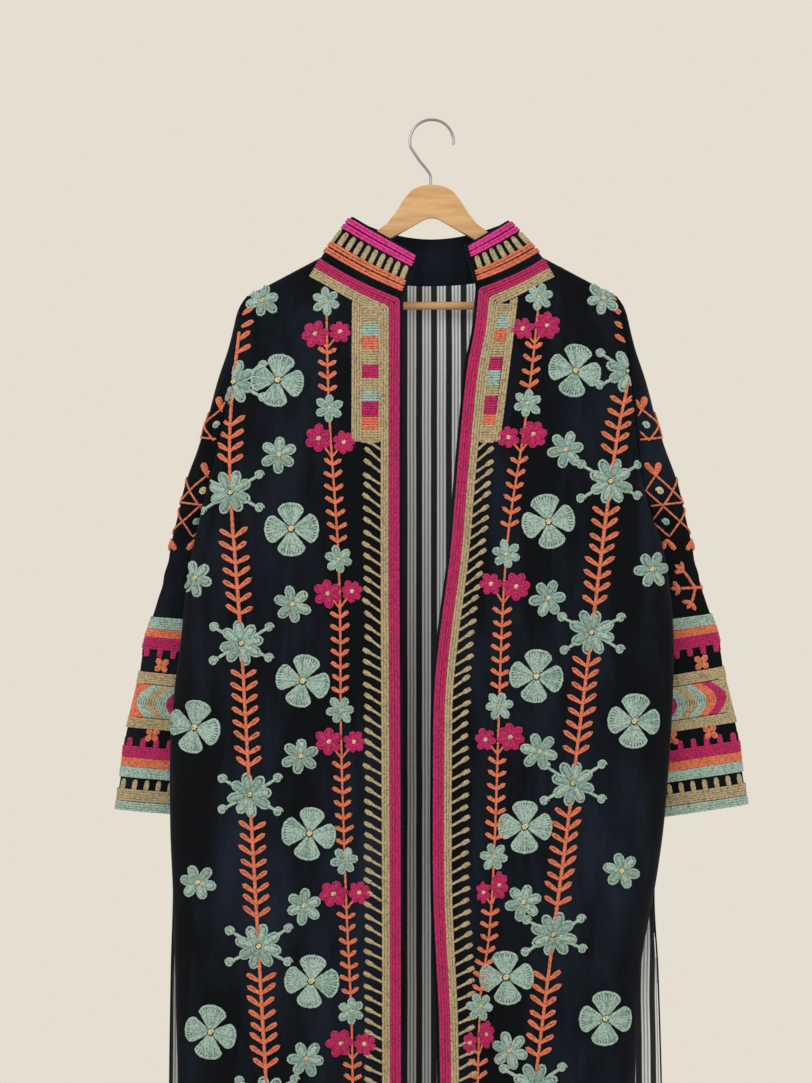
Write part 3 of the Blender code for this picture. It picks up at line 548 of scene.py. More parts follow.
def collar_ends(place):
    """Bottom and top of the collar: place 0 to 1 left front, 1 to 2 behind, 2 to 3 right front."""
    if 1.0 < place < 2.0:
        turn = -math.cos(math.pi * (place - 1.0))
        x = NECK_X * turn
        z = back_neck_z(x)
        side = -1 if turn < 0 else 1
        bottom = Vector((x, body_y(x, z, SHOULDER_TIP_X - abs(x), False), z))
        blend = (turn + 1.0) / 2.0
        reach = mix(COLLAR_SIDE_TOP[-1][0], COLLAR_SIDE_TOP[1][0], blend)
        side_z = mix(COLLAR_SIDE_TOP[-1][1], COLLAR_SIDE_TOP[1][1], blend)
        lift = mix(COLLAR_BACK_TOP_Z, side_z, turn * turn)
        lean = COLLAR_LEAN * (1.0 - turn * turn)
        return bottom, Vector((reach * turn, bottom.y + lean, lift))
    side = -1 if place <= 1.0 else 1
    share = (1.0 - place) if side < 0 else (place - 2.0)
    share = share * share
    edge = (LEFT_EDGE if side < 0 else RIGHT_EDGE)[0][1]
    x = mix(side * NECK_X, edge, share)
    z = front_neck_z(x, side)
    bottom = Vector((x, body_y(x, z, SHOULDER_TIP_X - abs(x), True), z))
    start_x, start_z = COLLAR_SIDE_TOP[side]
    end_x, end_z = COLLAR_END_TOP[side]
    top = Vector((mix(side * start_x, end_x, share), bottom.y - COLLAR_LEAN * share,
                  mix(start_z, end_z, share)))
    return bottom, top


def collar_point(place, height):
    bottom, top = collar_ends(place)
    bottom.z += SEAM_GAP * 2.0
    return bottom.lerp(top, height)


def section_closing(level):
    """0 where a sleeve's section is open beside the armhole, 1 from the underarm down."""
    return smooth((SECTION_CLOSING_Z - level) / (SECTION_CLOSING_Z - UNDERARM_Z))


def sleeve_point(turn, level, side):
    """Turn 0 is the outer fold, pi and -pi the armhole or inner fold, and 0 to pi lies in front."""
    outer_x, fold_x, fold_y, middle_y, front_half, back_half = (
        read_curve(SLEEVE_LINES, level, column) for column in range(1, 7))
    side_line = LEFT_SIDE if side < 0 else RIGHT_SIDE
    start_x = read_curve(side_line, max(level, UNDERARM_Z)) + side * (fold_x + ARMHOLE_GAP)
    closing = section_closing(level)
    share = abs(math.cos(turn / 2.0)) ** (1.0 + closing)
    front = turn > 0.0
    crease = sum(depth * math.exp(-((level - place) / width) ** 2)
                 for place, depth, width in SLEEVE_CREASES)
    half = (front_half if front else back_half) - crease
    bulge = half * abs(math.sin(turn)) ** mix(SLEEVE_SHARP, SLEEVE_BLUNT, closing)
    drop = shoulder_z(read_curve(side_line, level)) - level
    opening = (armhole_depth(drop, level) + SEAM_GAP / 2.0) * math.sqrt(1.0 - share ** 2)
    if level <= UNDERARM_Z:
        opening = 0.0
    depth = math.hypot(opening, bulge)
    tilt = SLEEVE_TILT[side] * smooth((TILT_START_Z - level) / TILT_FADE)
    return Vector((mix(start_x, side * outer_x, share),
                   mix(fold_y, middle_y, math.sqrt(share)) + (-depth if front else depth),
                   level + tilt * (share - 0.5)))


def sleeve_outward(turn, level, side):
    """Direction of the wall's thickness: half as much turn beside the armhole as below it."""
    angle = turn * mix(0.5, 1.0, section_closing(level))
    deep = math.copysign(math.sqrt(abs(math.sin(angle))), math.sin(angle))
    return Vector((side * math.cos(angle), -deep, 0.0))


def wood_outline():
    half = list(WOOD_TOP) + list(WOOD_LOW)
    return half + [(-x, z) for x, z in reversed(half) if x > 0.0]


def hook_points():
    """The hook's bow, its slanted neck and its stem, in the plane of the hanger."""
    centre_z = WIRE_RADIUS - HOOK_RADIUS
    points = []
    for step in range(HOOK_SPANS + 1):
        angle = math.radians(mix(*HOOK_TURN, step / HOOK_SPANS))
        points.append((HOOK_RADIUS * math.cos(angle), centre_z + HOOK_RADIUS * math.sin(angle)))
    return points + list(HOOK_NECK)


def linear(name):
    """Linear colour of a hex code from the table above."""
    code = HEX[name].lstrip("#")
    parts = [int(code[place:place + 2], 16) / 255.0 for place in (0, 2, 4)]
    return [value / 12.92 if value <= 0.04045 else ((value + 0.055) / 1.055) ** 2.4
            for value in parts] + [1.0]


def colour(name):
    """Linear colour as the settings have it."""
    return tuple(getattr(bpy.context.scene.robe, name))


def colour_setting(name, meaning):
    return FloatVectorProperty(name=name.replace("_", " ").capitalize(), description=meaning, subtype="COLOR",
                               size=4, min=0.0, max=1.0, default=linear(name))


def add_node(tree, kind, inputs=None, links=None, stops=(), **settings):
    """One node with its settings, its socket values, its incoming links and its colour stops."""
    node = tree.nodes.new(kind)
    for name, value in settings.items():
        setattr(node, name, value)
    for name, value in (inputs or {}).items():
        node.inputs[name].default_value = value
    for name, socket in (links or {}).items():
        tree.links.new(socket, node.inputs[name])
    if stops:
        elements = node.color_ramp.elements
        while len(elements) < len(stops):
            elements.new(0.5)
        for element, (place, shade) in zip(elements, stops):
            element.position = place
            element.color = shade
    return node


def per_metre(size):
    """Scale of a pattern whose features are this many millimetres wide."""
    return 1000.0 / size


def new_material(name):
    """A material with its node tree and its shader."""
    made = bpy.data.materials.new(name)
    made.use_nodes = True
    tree = made.node_tree
    return made, tree, tree.nodes["Principled BSDF"]


def velvet_material():
    """Cotton velvet, woven and cut: deep navy pile with painted sheen, lighter in long soft streaks that
    stand in for light on the pile.

    Its patches are about 67 mm wide, its crushed spots 26 mm; the tufts are drawn at 1.1 mm, coarser than
    real ones, so that they show.
    """
    made, tree, shader = new_material("velvet_navy")
    place = add_node(tree, "ShaderNodeTexCoord").outputs["Object"]
    hung = add_node(tree, "ShaderNodeMapping", {"Scale": (1.0, 1.0, 0.24)}, {"Vector": place})
    sheen_and_nap = add_node(tree, "ShaderNodeTexNoise",
                   {"Scale": per_metre(66.7), "Detail": 5.0, "Roughness": 0.62},
                   {"Vector": hung.outputs["Vector"]})
    # Painted sheen: the lighter velvet colour in long streaks stands in for light caught by the pile
    patches = add_node(tree, "ShaderNodeValToRGB", links={"Fac": sheen_and_nap.outputs["Fac"]},
                       stops=((0.44, colour("velvet")), (0.72, colour("velvet_painted_sheen"))))
    tree.links.new(patches.outputs["Color"], shader.inputs["Base Color"])
    pile = add_node(tree, "ShaderNodeTexNoise", {"Scale": per_metre(1.11), "Detail": 2.0}, {"Vector": place})
    crush = add_node(tree, "ShaderNodeTexNoise", {"Scale": per_metre(26.3), "Detail": 3.0}, {"Vector": place})
    soft = add_node(tree, "ShaderNodeBump", {"Strength": 0.25, "Distance": 0.0012},
                    {"Height": crush.outputs["Fac"]})
    bump = add_node(tree, "ShaderNodeBump", {"Strength": 0.35, "Distance": 0.0004},
                    {"Height": pile.outputs["Fac"], "Normal": soft.outputs["Normal"]})
    tree.links.new(bump.outputs["Normal"], shader.inputs["Normal"])
    rough = add_node(tree, "ShaderNodeMapRange", {"To Min": 0.72, "To Max": 0.95},
                     {"Value": sheen_and_nap.outputs["Fac"]})
    tree.links.new(rough.outputs["Result"], shader.inputs["Roughness"])
    shader.inputs["Specular IOR Level"].default_value = 0.08
    shader.inputs["Sheen Weight"].default_value = 0.13
    shader.inputs["Sheen Roughness"].default_value = 0.34
    shader.inputs["Sheen Tint"].default_value = (0.26, 0.35, 0.48, 1.0)
    return made


def thread_material(name):
    """Wool thread, twisted, dyed and chain-stitched: links of 2.4 mm with painted highlight on their middles
    and painted shade in the gaps between them, its colour uneven over 17 mm.

    Its fibres are drawn at 0.67 mm, coarser than real ones, so that they show.
    """
    made, tree, shader = new_material(f"thread_{name}")
    place = add_node(tree, "ShaderNodeTexCoord").outputs["Object"]
    lots = add_node(tree, "ShaderNodeTexNoise", {"Scale": per_metre(16.7), "Detail": 3.0}, {"Vector": place})
    knots = add_node(tree, "ShaderNodeTexVoronoi", {"Scale": per_metre(2.38)}, {"Vector": place})
    fibres = add_node(tree, "ShaderNodeTexNoise", {"Scale": per_metre(0.667), "Detail": 2.0},
                      {"Vector": place})
    base = colour(name)
    # Painted shade and highlight: each link is half as bright at its border and a little brighter at its
    # middle
    dark = [value * 0.50 for value in base[:3]] + [1.0]
    light = [min(value * 1.14, 1.0) for value in base[:3]] + [1.0]
    links = add_node(tree, "ShaderNodeValToRGB", links={"Fac": knots.outputs["Distance"]},
                     stops=((0.10, light), (0.85, dark)))
    tint = add_node(tree, "ShaderNodeMapRange", {"To Min": 0.78, "To Max": 1.12},
                    {"Value": lots.outputs["Fac"]})
    mixed = add_node(tree, "ShaderNodeVectorMath", links={0: links.outputs["Color"],
                                                          1: tint.outputs["Result"]},
                     operation="MULTIPLY")
    tree.links.new(mixed.outputs["Vector"], shader.inputs["Base Color"])
    first = add_node(tree, "ShaderNodeBump", {"Strength": 0.55, "Distance": 0.0007},
                     {"Height": knots.outputs["Distance"]})
    first.invert = True
    bump = add_node(tree, "ShaderNodeBump", {"Strength": 0.30, "Distance": 0.0003},
                    {"Height": fibres.outputs["Fac"], "Normal": first.outputs["Normal"]})
    tree.links.new(bump.outputs["Normal"], shader.inputs["Normal"])
    shader.inputs["Roughness"].default_value = 0.82
    shader.inputs["Specular IOR Level"].default_value = 0.25
    shader.inputs["Sheen Weight"].default_value = 0.12
    return made


def lining_material():
    """Cotton, handwoven and washed: bands of three white lines on grey between dark stripes, 18 mm apart.

    Its threads are drawn 0.98 mm apart, coarser than real ones, so that they show.
    """
    made, tree, shader = new_material("cotton_striped")
    coords = add_node(tree, "ShaderNodeUVMap", uv_map="UVMap").outputs["UV"]
    split = add_node(tree, "ShaderNodeSeparateXYZ", links={"Vector": coords})
    waver = add_node(tree, "ShaderNodeTexNoise", {"Scale": per_metre(111.0), "Detail": 2.0},
                     {"Vector": coords})
    drift = add_node(tree, "ShaderNodeMapRange", {"To Min": -0.0006, "To Max": 0.0006},
                     {"Value": waver.outputs["Fac"]})
    moved = add_node(tree, "ShaderNodeMath", links={0: split.outputs["X"], 1: drift.outputs["Result"]},
                     operation="ADD")
    pitch = add_node(tree, "ShaderNodeMath", {1: per_metre(18.2)}, {0: moved.outputs["Value"]},
                     operation="MULTIPLY")
    phase = add_node(tree, "ShaderNodeMath", links={0: pitch.outputs["Value"]}, operation="FRACT")
    dark, grey, white = colour("lining_dark"), colour("lining_grey"), colour("lining_white")
    stripes = add_node(tree, "ShaderNodeValToRGB", links={"Fac": phase.outputs["Value"]}, stops=(
        (0.0, dark), (0.37, grey), (0.39, white), (0.50, grey), (0.61, white), (0.73, grey),
        (0.84, white), (0.95, grey), (0.97, dark)))
    stripes.color_ramp.interpolation = "CONSTANT"
    weave = add_node(tree, "ShaderNodeTexNoise", {"Scale": per_metre(1.43), "Detail": 2.0},
                     {"Vector": coords})
    faded = add_node(tree, "ShaderNodeMapRange", {"To Min": 0.80, "To Max": 1.15},
                     {"Value": weave.outputs["Fac"]})
    worn = add_node(tree, "ShaderNodeVectorMath", links={0: stripes.outputs["Color"],
                                                         1: faded.outputs["Result"]},
                    operation="MULTIPLY")
    tree.links.new(worn.outputs["Vector"], shader.inputs["Base Color"])
    ripples = per_metre(0.982) * math.pi / 10.0
    rows = [add_node(tree, "ShaderNodeTexWave", {"Scale": ripples, "Distortion": 0.6},
                     {"Vector": coords}, bands_direction=way).outputs["Fac"] for way in ("X", "Y")]
    woven = add_node(tree, "ShaderNodeMath", links={0: rows[0], 1: rows[1]}, operation="MULTIPLY")
    bump = add_node(tree, "ShaderNodeBump", {"Strength": 0.3, "Distance": 0.0003},
                    {"Height": woven.outputs["Value"]})
    tree.links.new(bump.outputs["Normal"], shader.inputs["Normal"])
    shader.inputs["Roughness"].default_value = 0.85
    shader.inputs["Sheen Weight"].default_value = 0.08
    return made


def beech_material():
    """Beech, sawn, shaped and lacquered: a soft shine over streaks of 8 by 91 mm, flecks of 1 by 11 mm."""
    made, tree, shader = new_material("beech_lacquered")
    place = add_node(tree, "ShaderNodeTexCoord").outputs["Object"]
    streak = (per_metre(90.9), per_metre(7.58), per_metre(7.58))
    along = add_node(tree, "ShaderNodeMapping", {"Scale": streak}, {"Vector": place})
    grain = add_node(tree, "ShaderNodeTexNoise", {"Scale": 1.0, "Detail": 6.0, "Distortion": 0.4},
                     {"Vector": along.outputs["Vector"]})
    fleck = (per_metre(11.1), per_metre(1.11), per_metre(1.11))
    stretch = add_node(tree, "ShaderNodeMapping", {"Scale": fleck}, {"Vector": place})
    flecks = add_node(tree, "ShaderNodeTexNoise", {"Scale": 1.0, "Detail": 2.0},
                      {"Vector": stretch.outputs["Vector"]})
    wood = add_node(tree, "ShaderNodeValToRGB", links={"Fac": grain.outputs["Fac"]},
                    stops=((0.30, colour("beech_dark")), (0.62, colour("beech_light"))))
    shade = add_node(tree, "ShaderNodeMapRange", {"To Min": 0.82, "To Max": 1.10},
                     {"Value": flecks.outputs["Fac"]})
    mixed = add_node(tree, "ShaderNodeVectorMath", links={0: wood.outputs["Color"],
                                                          1: shade.outputs["Result"]},
                     operation="MULTIPLY")
    tree.links.new(mixed.outputs["Vector"], shader.inputs["Base Color"])
    rough = add_node(tree, "ShaderNodeMapRange", {"To Min": 0.34, "To Max": 0.52},
                     {"Value": grain.outputs["Fac"]})
    tree.links.new(rough.outputs["Result"], shader.inputs["Roughness"])
    bump = add_node(tree, "ShaderNodeBump", {"Strength": 0.12, "Distance": 0.0003},
                    {"Height": flecks.outputs["Fac"]})
    tree.links.new(bump.outputs["Normal"], shader.inputs["Normal"])
    shader.inputs["Coat Weight"].default_value = 0.25
    return made


def steel_material():
    """Steel wire, drawn and chrome-plated: bright, with fine lines of 0.4 mm and dull patches of 11 mm."""
    made, tree, shader = new_material("wire_chromed")
    place = add_node(tree, "ShaderNodeTexCoord").outputs["Object"]
    dull = add_node(tree, "ShaderNodeTexNoise", {"Scale": per_metre(11.1), "Detail": 3.0}, {"Vector": place})
    rough = add_node(tree, "ShaderNodeMapRange", {"To Min": 0.10, "To Max": 0.32},
                     {"Value": dull.outputs["Fac"]})
    tree.links.new(rough.outputs["Result"], shader.inputs["Roughness"])
    drawn = add_node(tree, "ShaderNodeTexNoise", {"Scale": per_metre(0.4)}, {"Vector": place})
    bump = add_node(tree, "ShaderNodeBump", {"Strength": 0.05, "Distance": 0.0001},
                    {"Height": drawn.outputs["Fac"]})
    tree.links.new(bump.outputs["Normal"], shader.inputs["Normal"])
    shader.inputs["Base Color"].default_value = colour("steel")
    shader.inputs["Metallic"].default_value = 1.0
    return made


def plaster_material():
    """Pale matt wall paint, rolled on, a little uneven over most of a metre."""
    made, tree, shader = new_material("paint_pale")
    place = add_node(tree, "ShaderNodeTexCoord").outputs["Object"]
    patches = add_node(tree, "ShaderNodeTexNoise", {"Scale": per_metre(667.0), "Detail": 3.0},
                       {"Vector": place})
    shade = add_node(tree, "ShaderNodeMapRange", {"To Min": 0.97, "To Max": 1.03},
                     {"Value": patches.outputs["Fac"]})
    painted = add_node(tree, "ShaderNodeVectorMath", {0: colour("wall")[:3]},
                       {1: shade.outputs["Result"]}, operation="MULTIPLY")
    tree.links.new(painted.outputs["Vector"], shader.inputs["Base Color"])
    shader.inputs["Roughness"].default_value = 0.9
    return made


def get_material(name):
    """Materials are made once and shared by the pieces."""
    makers = {"velvet_navy": velvet_material, "cotton_striped": lining_material,
              "beech_lacquered": beech_material, "wire_chromed": steel_material,
              "paint_pale": plaster_material}
    made = bpy.data.materials.get(name)
    if made:
        return made
    if name.startswith("thread_"):
        return thread_material(name[len("thread_"):])
    return makers[name]()


def near_line(x, z, crease):
    """Depth of one crease, full along its middle and gone at its ends."""
    start_x, start_z, end_x, end_z, depth, half_width = crease
    way_x, way_z = end_x - start_x, end_z - start_z
    length = math.hypot(way_x, way_z)
    along = ((x - start_x) * way_x + (z - start_z) * way_z) / length
    before, after = along + CREASE_END, length + CREASE_END - along
    if min(before, after) < 0.0:
        return 0.0
    across = ((x - start_x) * way_z - (z - start_z) * way_x) / length
    fading = 2.0 * CREASE_END + CREASE_FADE * length
    return depth * smooth(before / fading) * smooth(after / fading) * math.exp(-(across / half_width) ** 2)


def soft_depth(x, z, room, front):
    """Small creases and waves of the hanging cloth, none at its borders."""
    creases = FRONT_CREASES if front else BACK_CREASES
    total = CREASE_STRENGTH * sum(near_line(x, z, crease) for crease in creases)
    for depth, first_x, first_z, second_x, second_z in CLOTH_WAVES:
        total += depth * math.sin(first_x * x + first_z * z) * math.sin(second_x * x + second_z * z)
    return total * smooth(room / BORDER_FADE)


def front_y(x, z, side):
    """Outer face of a front."""
    seam = read_curve(LEFT_SIDE if side < 0 else RIGHT_SIDE, z)
    edge = read_curve(LEFT_EDGE if side < 0 else RIGHT_EDGE, z)
    distance = abs(seam - x) if (seam - x) * side > 0.0 else 0.0
    room = min(distance, shoulder_z(x) - z, abs(x - edge) + EDGE_ROOM)
    return body_y(x, z, distance, True) + soft_depth(x, z, room, True)


def back_y(x, z):
    """Outer face of the back."""
    left, right = read_curve(LEFT_BACK_SIDE, z), read_curve(RIGHT_BACK_SIDE, z)
    distance = max(min(x - left, right - x), 0.0)
    return body_y(x, z, distance, False) - soft_depth(x, z, min(distance, shoulder_z(x) - z), False)


def front_spot(x, z, side, lift):
    """Point over a front, or nothing beyond its borders."""
    seam = read_curve(LEFT_SIDE if side < 0 else RIGHT_SIDE, z)
    edge = read_curve(LEFT_EDGE if side < 0 else RIGHT_EDGE, z)
    inside = (seam - x) * side > FRONT_SEAM_MARGIN and (x - edge) * side > 0.0
    if not inside or z > top_z(x, side, True) - TOP_MARGIN or z < HEM_Z + HEM_MARGIN:
        return None
    y = front_y(x, z, side)
    slope_x = (front_y(x - side * SLOPE_STEP, z, side) - y) / (-side * SLOPE_STEP)
    slope_z = (front_y(x, z - SLOPE_STEP, side) - y) / -SLOPE_STEP
    return Vector((x, y, z)) + Vector((slope_x, -1.0, slope_z)).normalized() * lift


def back_spot(x, z, lift):
    """Point over the back, or nothing beyond its borders."""
    left, right = read_curve(LEFT_BACK_SIDE, z), read_curve(RIGHT_BACK_SIDE, z)
    inside = min(x - left, right - x) >= BACK_SEAM_MARGIN
    if not inside or z > top_z(x, 0, False) - TOP_MARGIN or z < HEM_Z + HEM_MARGIN:
        return None
    inward = -SLOPE_STEP if x > 0.0 else SLOPE_STEP
    y = back_y(x, z)
    slope_x = (back_y(x + inward, z) - y) / inward
    slope_z = (back_y(x, z - SLOPE_STEP) - y) / -SLOPE_STEP
    return Vector((x, y, z)) + Vector((-slope_x, 1.0, -slope_z)).normalized() * lift


def sleeve_face(turn, level, side):
    """Outer face of a sleeve with its small creases."""
    wave = sum(depth * math.sin(turns * turn + down * level) for depth, turns, down in SLEEVE_WAVES)
    for place, slant, depth, width in SLEEVE_DENTS:
        wave -= depth * math.exp(-((level - place + slant * math.cos(turn)) / width) ** 2)
    room = smooth((SLEEVE_CALM_Z - level) / SLEEVE_CALM_FADE)
    if level >= UNDERARM_Z - CALM_BELOW_UNDERARM:
        room *= abs(math.cos(turn / 2.0))
    return sleeve_point(turn, level, side) + sleeve_outward(turn, level, side) * wave * room


# Rings already measured, by level and side
RINGS = {}


def sleeve_ring(level, side):
    """Lengths round the sleeve from its outer fold to each turn, in front and behind."""
    key = (round(level, 3), side)
    if key not in RINGS:
        for way in (1, -1):
            turns = [way * math.pi * step / RING_SPANS for step in range(RING_SPANS + 1)]
            points = [sleeve_face(turn, key[0], side) for turn in turns]
            lengths = [0.0]
            for start, end in zip(points, points[1:]):
                lengths.append(lengths[-1] + (end - start).length)
            RINGS[key + (way,)] = (turns, lengths)
        RINGS[key] = True
    return RINGS[key + (1,)], RINGS[key + (-1,)]


def turn_at(length, level, side):
    """Turn at a length round the sleeve: positive lengths are in front."""
    turns, lengths = sleeve_ring(level, side)[0 if length >= 0.0 else 1]
    length = abs(length)
    for index in range(len(lengths) - 1):
        if lengths[index + 1] >= length:
            share = (length - lengths[index]) / max(lengths[index + 1] - lengths[index], 1e-9)
            return mix(turns[index], turns[index + 1], share)
    return None


def sleeve_turn_spot(turn, level, side, lift):
    """Point over a sleeve by turn round it."""
    point = sleeve_face(turn, level, side)
    around = sleeve_face(turn + TURN_STEP, level, side) - sleeve_face(turn - TURN_STEP, level, side)
    down = sleeve_face(turn, level - LEVEL_STEP, side) - point
    return point + around.cross(down).normalized() * (side * lift)


def half_round(level, side, way):
    """Length round half a sleeve from its outer fold, in front (way 1) or behind (way -1)."""
    return sleeve_ring(level, side)[0 if way > 0 else 1][1][-1]


def sleeve_spot(length, level, side, lift):
    """Point over a sleeve by length round it from the outer fold, or nothing past its border."""
    turn = turn_at(length, level, side)
    if turn is None or (level > UNDERARM_Z and abs(turn) > math.pi - ARMHOLE_MARGIN_TURN):
        return None
    return sleeve_turn_spot(turn, level, side, lift)


def collar_outward(point):
    """Rough way out of the collar."""
    return Vector((point.x * 0.6, point.y, 0.02))


def collar_spot(place, height, lift):
    """Point over the collar's outer face."""
    low, high = max(place - COLLAR_STEP, 0.0), min(place + COLLAR_STEP, 3.0)
    point = collar_point(place, height)
    along = collar_point(high, height) - collar_point(low, height)
    up = (collar_point(place, min(height + COLLAR_RISE, 1.0))
          - collar_point(place, max(height - COLLAR_RISE, 0.0)))
    normal = along.cross(up).normalized()
    return point + (normal if normal.dot(collar_outward(point)) > 0.0 else -normal) * lift


class Stitching:
    """Rows of chain stitch on one face of cloth, gathered in one curve and made one mesh."""

    # Radius of a curve whose points have radius 1, and how a row's ends and its links swell and pinch
    UNIT = 0.001
    END, WIDE, NARROW = 0.72, 1.06, 0.90

    def __init__(self, name, spot, step):
        self.name = name
        self.spot = spot
        self.step = step
        self.dice = random.Random(name)
        self.curve = bpy.data.curves.new(name, "CURVE")
        self.curve.dimensions = "3D"
        self.curve.bevel_depth = self.UNIT
        self.curve.bevel_resolution = 1
        self.curve.use_fill_caps = True
        for thread in THREADS:
            self.curve.materials.append(get_material(f"thread_{thread}"))

    def row(self, thread, path, radius=0.0016, sink=0.35, coarse=1.0):
        """One row along a flat path, broken where the face ends; links swell and pinch in turn."""
        points = self.spread(path, self.step * coarse)
        runs, run = [], []
        for place in points:
            point = self.spot(*place, radius * (1.0 - sink))
            if point is None:
                runs.append(run)
                run = []
            else:
                run.append(point)
        runs.append(run)
        for run in runs:
            if len(run) < 2:
                continue
            spline = self.curve.splines.new("POLY")
            spline.points.add(len(run) - 1)
            spline.material_index = THREADS.index(thread)
            spline.use_smooth = True
            for index, (item, point) in enumerate(zip(spline.points, run)):
                swell = self.WIDE if index % 2 else self.NARROW
                if index in (0, len(run) - 1):
                    swell = self.END
                swell *= self.dice.uniform(0.94, 1.06)
                item.co = (*point, 1.0)
                item.radius = radius / self.UNIT * swell

    @staticmethod
    def spread(path, step):
        """Points evenly along a flat path, both ends kept."""
        lengths = [0.0]
        for start, end in zip(path, path[1:]):
            lengths.append(lengths[-1] + math.dist(start, end))
        count = max(int(round(lengths[-1] / step)), 1)
        spread = []
        index = 0
        for number in range(count + 1):
            target = lengths[-1] * number / count
            while index < len(path) - 2 and lengths[index + 1] < target:
                index += 1
            span = max(lengths[index + 1] - lengths[index], 1e-9)
            share = min(max((target - lengths[index]) / span, 0.0), 1.0)
            spread.append((mix(path[index][0], path[index + 1][0], share),
                           mix(path[index][1], path[index + 1][1], share)))
        return spread

    def finish(self):
        """Turns the curve into one mesh piece."""
        holder = bpy.data.objects.new(f"{self.name}_rows", self.curve)
        bpy.context.scene.collection.objects.link(holder)
        graph = bpy.context.evaluated_depsgraph_get()
        mesh = bpy.data.meshes.new_from_object(holder.evaluated_get(graph))
        mesh.name = self.name
        bpy.data.objects.remove(holder, do_unlink=True)
        bpy.data.curves.remove(self.curve)
        if not mesh.polygons:
            raise RuntimeError(f"{self.name} has no stitches")
        mesh.shade_smooth()
        made = bpy.data.objects.new(self.name, mesh)
        bpy.context.scene.collection.objects.link(made)
        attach(made, "root")
        return made


def turned(centre, angle, points, squash=1.0):
    """Local points turned by an angle, squashed sideways and moved to their centre."""
    cos, sin = math.cos(angle), math.sin(angle)
    return [(centre[0] + squash * (x * cos - y * sin), centre[1] + x * sin + y * cos) for x, y in points]


def petal_loop(length, start, half_width, count=12, waist=0.55):
    """Outline of a petal along +x: narrow at its start, round at its end."""
    points = []
    for step in range(count + 1):
        turn = math.pi + 2.0 * math.pi * step / count
        along = (1.0 + math.cos(turn)) / 2.0
        wide = half_width * math.sin(turn) * (waist + (1.0 - waist) * along)
        points.append((mix(start, length, along), wide))
    return points


def knot(work, centre, radius, thread="cream"):
    """Small knot: two turns that wind inwards."""
    coil = []
    for step in range(15):
        turn = step * 0.9
        reach = radius * (1.0 - step / 18.0)
        coil.append((reach * math.cos(turn), reach * math.sin(turn)))
    work.row(thread, turned(centre, 0.0, coil), radius=0.0013, sink=-0.15, coarse=0.8)


def broad_flower(work, centre, angle, size):
    """Four broad fan petals filled with rows that run out from the middle."""
    for quarter in range(4):
        way = angle + quarter * math.pi / 2.0
        reach = size * work.dice.uniform(0.95, 1.03)
        half = 0.60 * work.dice.uniform(0.94, 1.05)

        def rim(share, inset=0.0):
            out = (reach - inset) * (1.0 - 0.13 * abs(share) ** 4)
            turn = half * share
            return (out * math.cos(turn), out * math.sin(turn))

        sides = [rim(share) for share in (-1.0, -0.8, -0.5, 0.0, 0.5, 0.8, 1.0)]
        low = 0.17 * size
        loop = [(low, -0.10 * size)] + sides + [(low, 0.10 * size)]
        work.row("teal", turned(centre, way, loop), radius=0.0017)
        for number in range(-4, 5):
            share = number / 5.0
            end = rim(share, 0.0014)
            start = 0.16 if number % 2 == 0 else 0.34
            begin = (end[0] * start, end[1] * start)
            thread = "teal" if work.dice.random() < 0.72 else "teal_shade"
            work.row(thread, turned(centre, way, [begin, end]), radius=0.00185, sink=0.40)
    knot(work, centre, 0.0036)


def looped_flower(work, centre, angle, size, petals=6, thread="teal", middle=0.0030, squash=1.0):
    """Oval looped petals, darker inside, about a knot; squashed sideways where it lies in a fold."""
    for number in range(petals):
        way = angle + 2.0 * math.pi * number / petals + work.dice.uniform(-0.07, 0.07)
        reach = size * work.dice.uniform(0.92, 1.06)
        full = thread == "crimson"
        half = size * (0.34 if full else 0.29) * (6.0 / petals) ** 0.5
        work.row(thread, turned(centre, way, petal_loop(reach, 0.16 * size, half), squash), radius=0.0017)
        work.row("teal_shade" if thread == "teal" and work.dice.random() < 0.6 else thread,
                 turned(centre, way, [(0.24 * reach, 0.0), (0.88 * reach, 0.0)], squash),
                 radius=half * 0.62, sink=0.50)
    knot(work, centre, middle)


def sunburst(work, centre, angle, size):
    """Eight looped petals with four stalks that end in balls."""
    looped_flower(work, centre, angle, size, petals=8)
    for across, up in ((1.0, 0.56), (-1.0, 0.54), (1.0, -0.52), (-1.0, -0.56)):
        end = (across * size * 1.30 * work.dice.uniform(0.94, 1.06),
               up * size * 1.35 * work.dice.uniform(0.88, 1.10))
        start = (end[0] * 0.45, end[1] * 0.45)
        work.row("teal", turned(centre, 0.0, [start, end]), radius=0.0021)
        ball = turned(centre, 0.0, [end])[0]
        knot(work, ball, 0.0060, "teal")
        knot(work, ball, 0.0024, "teal_shade")


def leaf(work, base, angle, length, width, thread="coral", radius=0.0016, middle=0.0):
    """Looped leaf: a closed teardrop along its own way, with a row of that radius down its middle."""
    loop = petal_loop(length, 0.0, width / 2.0, 10, 0.10)
    work.row(thread, turned(base, angle, loop), radius=radius, coarse=0.85)
    if middle:
        work.row(thread, turned(base, angle, [(0.35 * length, 0.0), (0.90 * length, 0.0)]), radius=middle)


def vine(work, line, top, flowers, bare, leaves):
    """Stem with pairs of raised leaves, broken at the flowers that sit on it."""
    length, width, stem = leaves
    count = int((top - VINE_END_Z) / STEM_SPAN)
    path = []
    for step in range(count + 1):
        z = mix(top, VINE_END_Z, step / count)
        if any(abs(z - middle) < STEM_GAP for middle in flowers):
            if len(path) > 1:
                work.row("coral", path, radius=stem)
            path = []
        else:
            path.append((read_curve(line, z), z))
    if len(path) > 1:
        work.row("coral", path, radius=stem)
    z = top - LEAF_PITCH * 0.6
    while z > VINE_END_Z:
        if all(not (middle + bare[0] > z > middle - bare[1]) for middle in flowers):
            for side in (-1.0, 1.0):
                angle = math.pi / 2.0 - side * (LEAF_LEAN + work.dice.uniform(-0.10, 0.10))
                leaf(work, (read_curve(line, z), z), angle,
                     length * work.dice.uniform(0.88, 1.08), width)
        z -= LEAF_PITCH * work.dice.uniform(0.95, 1.05)


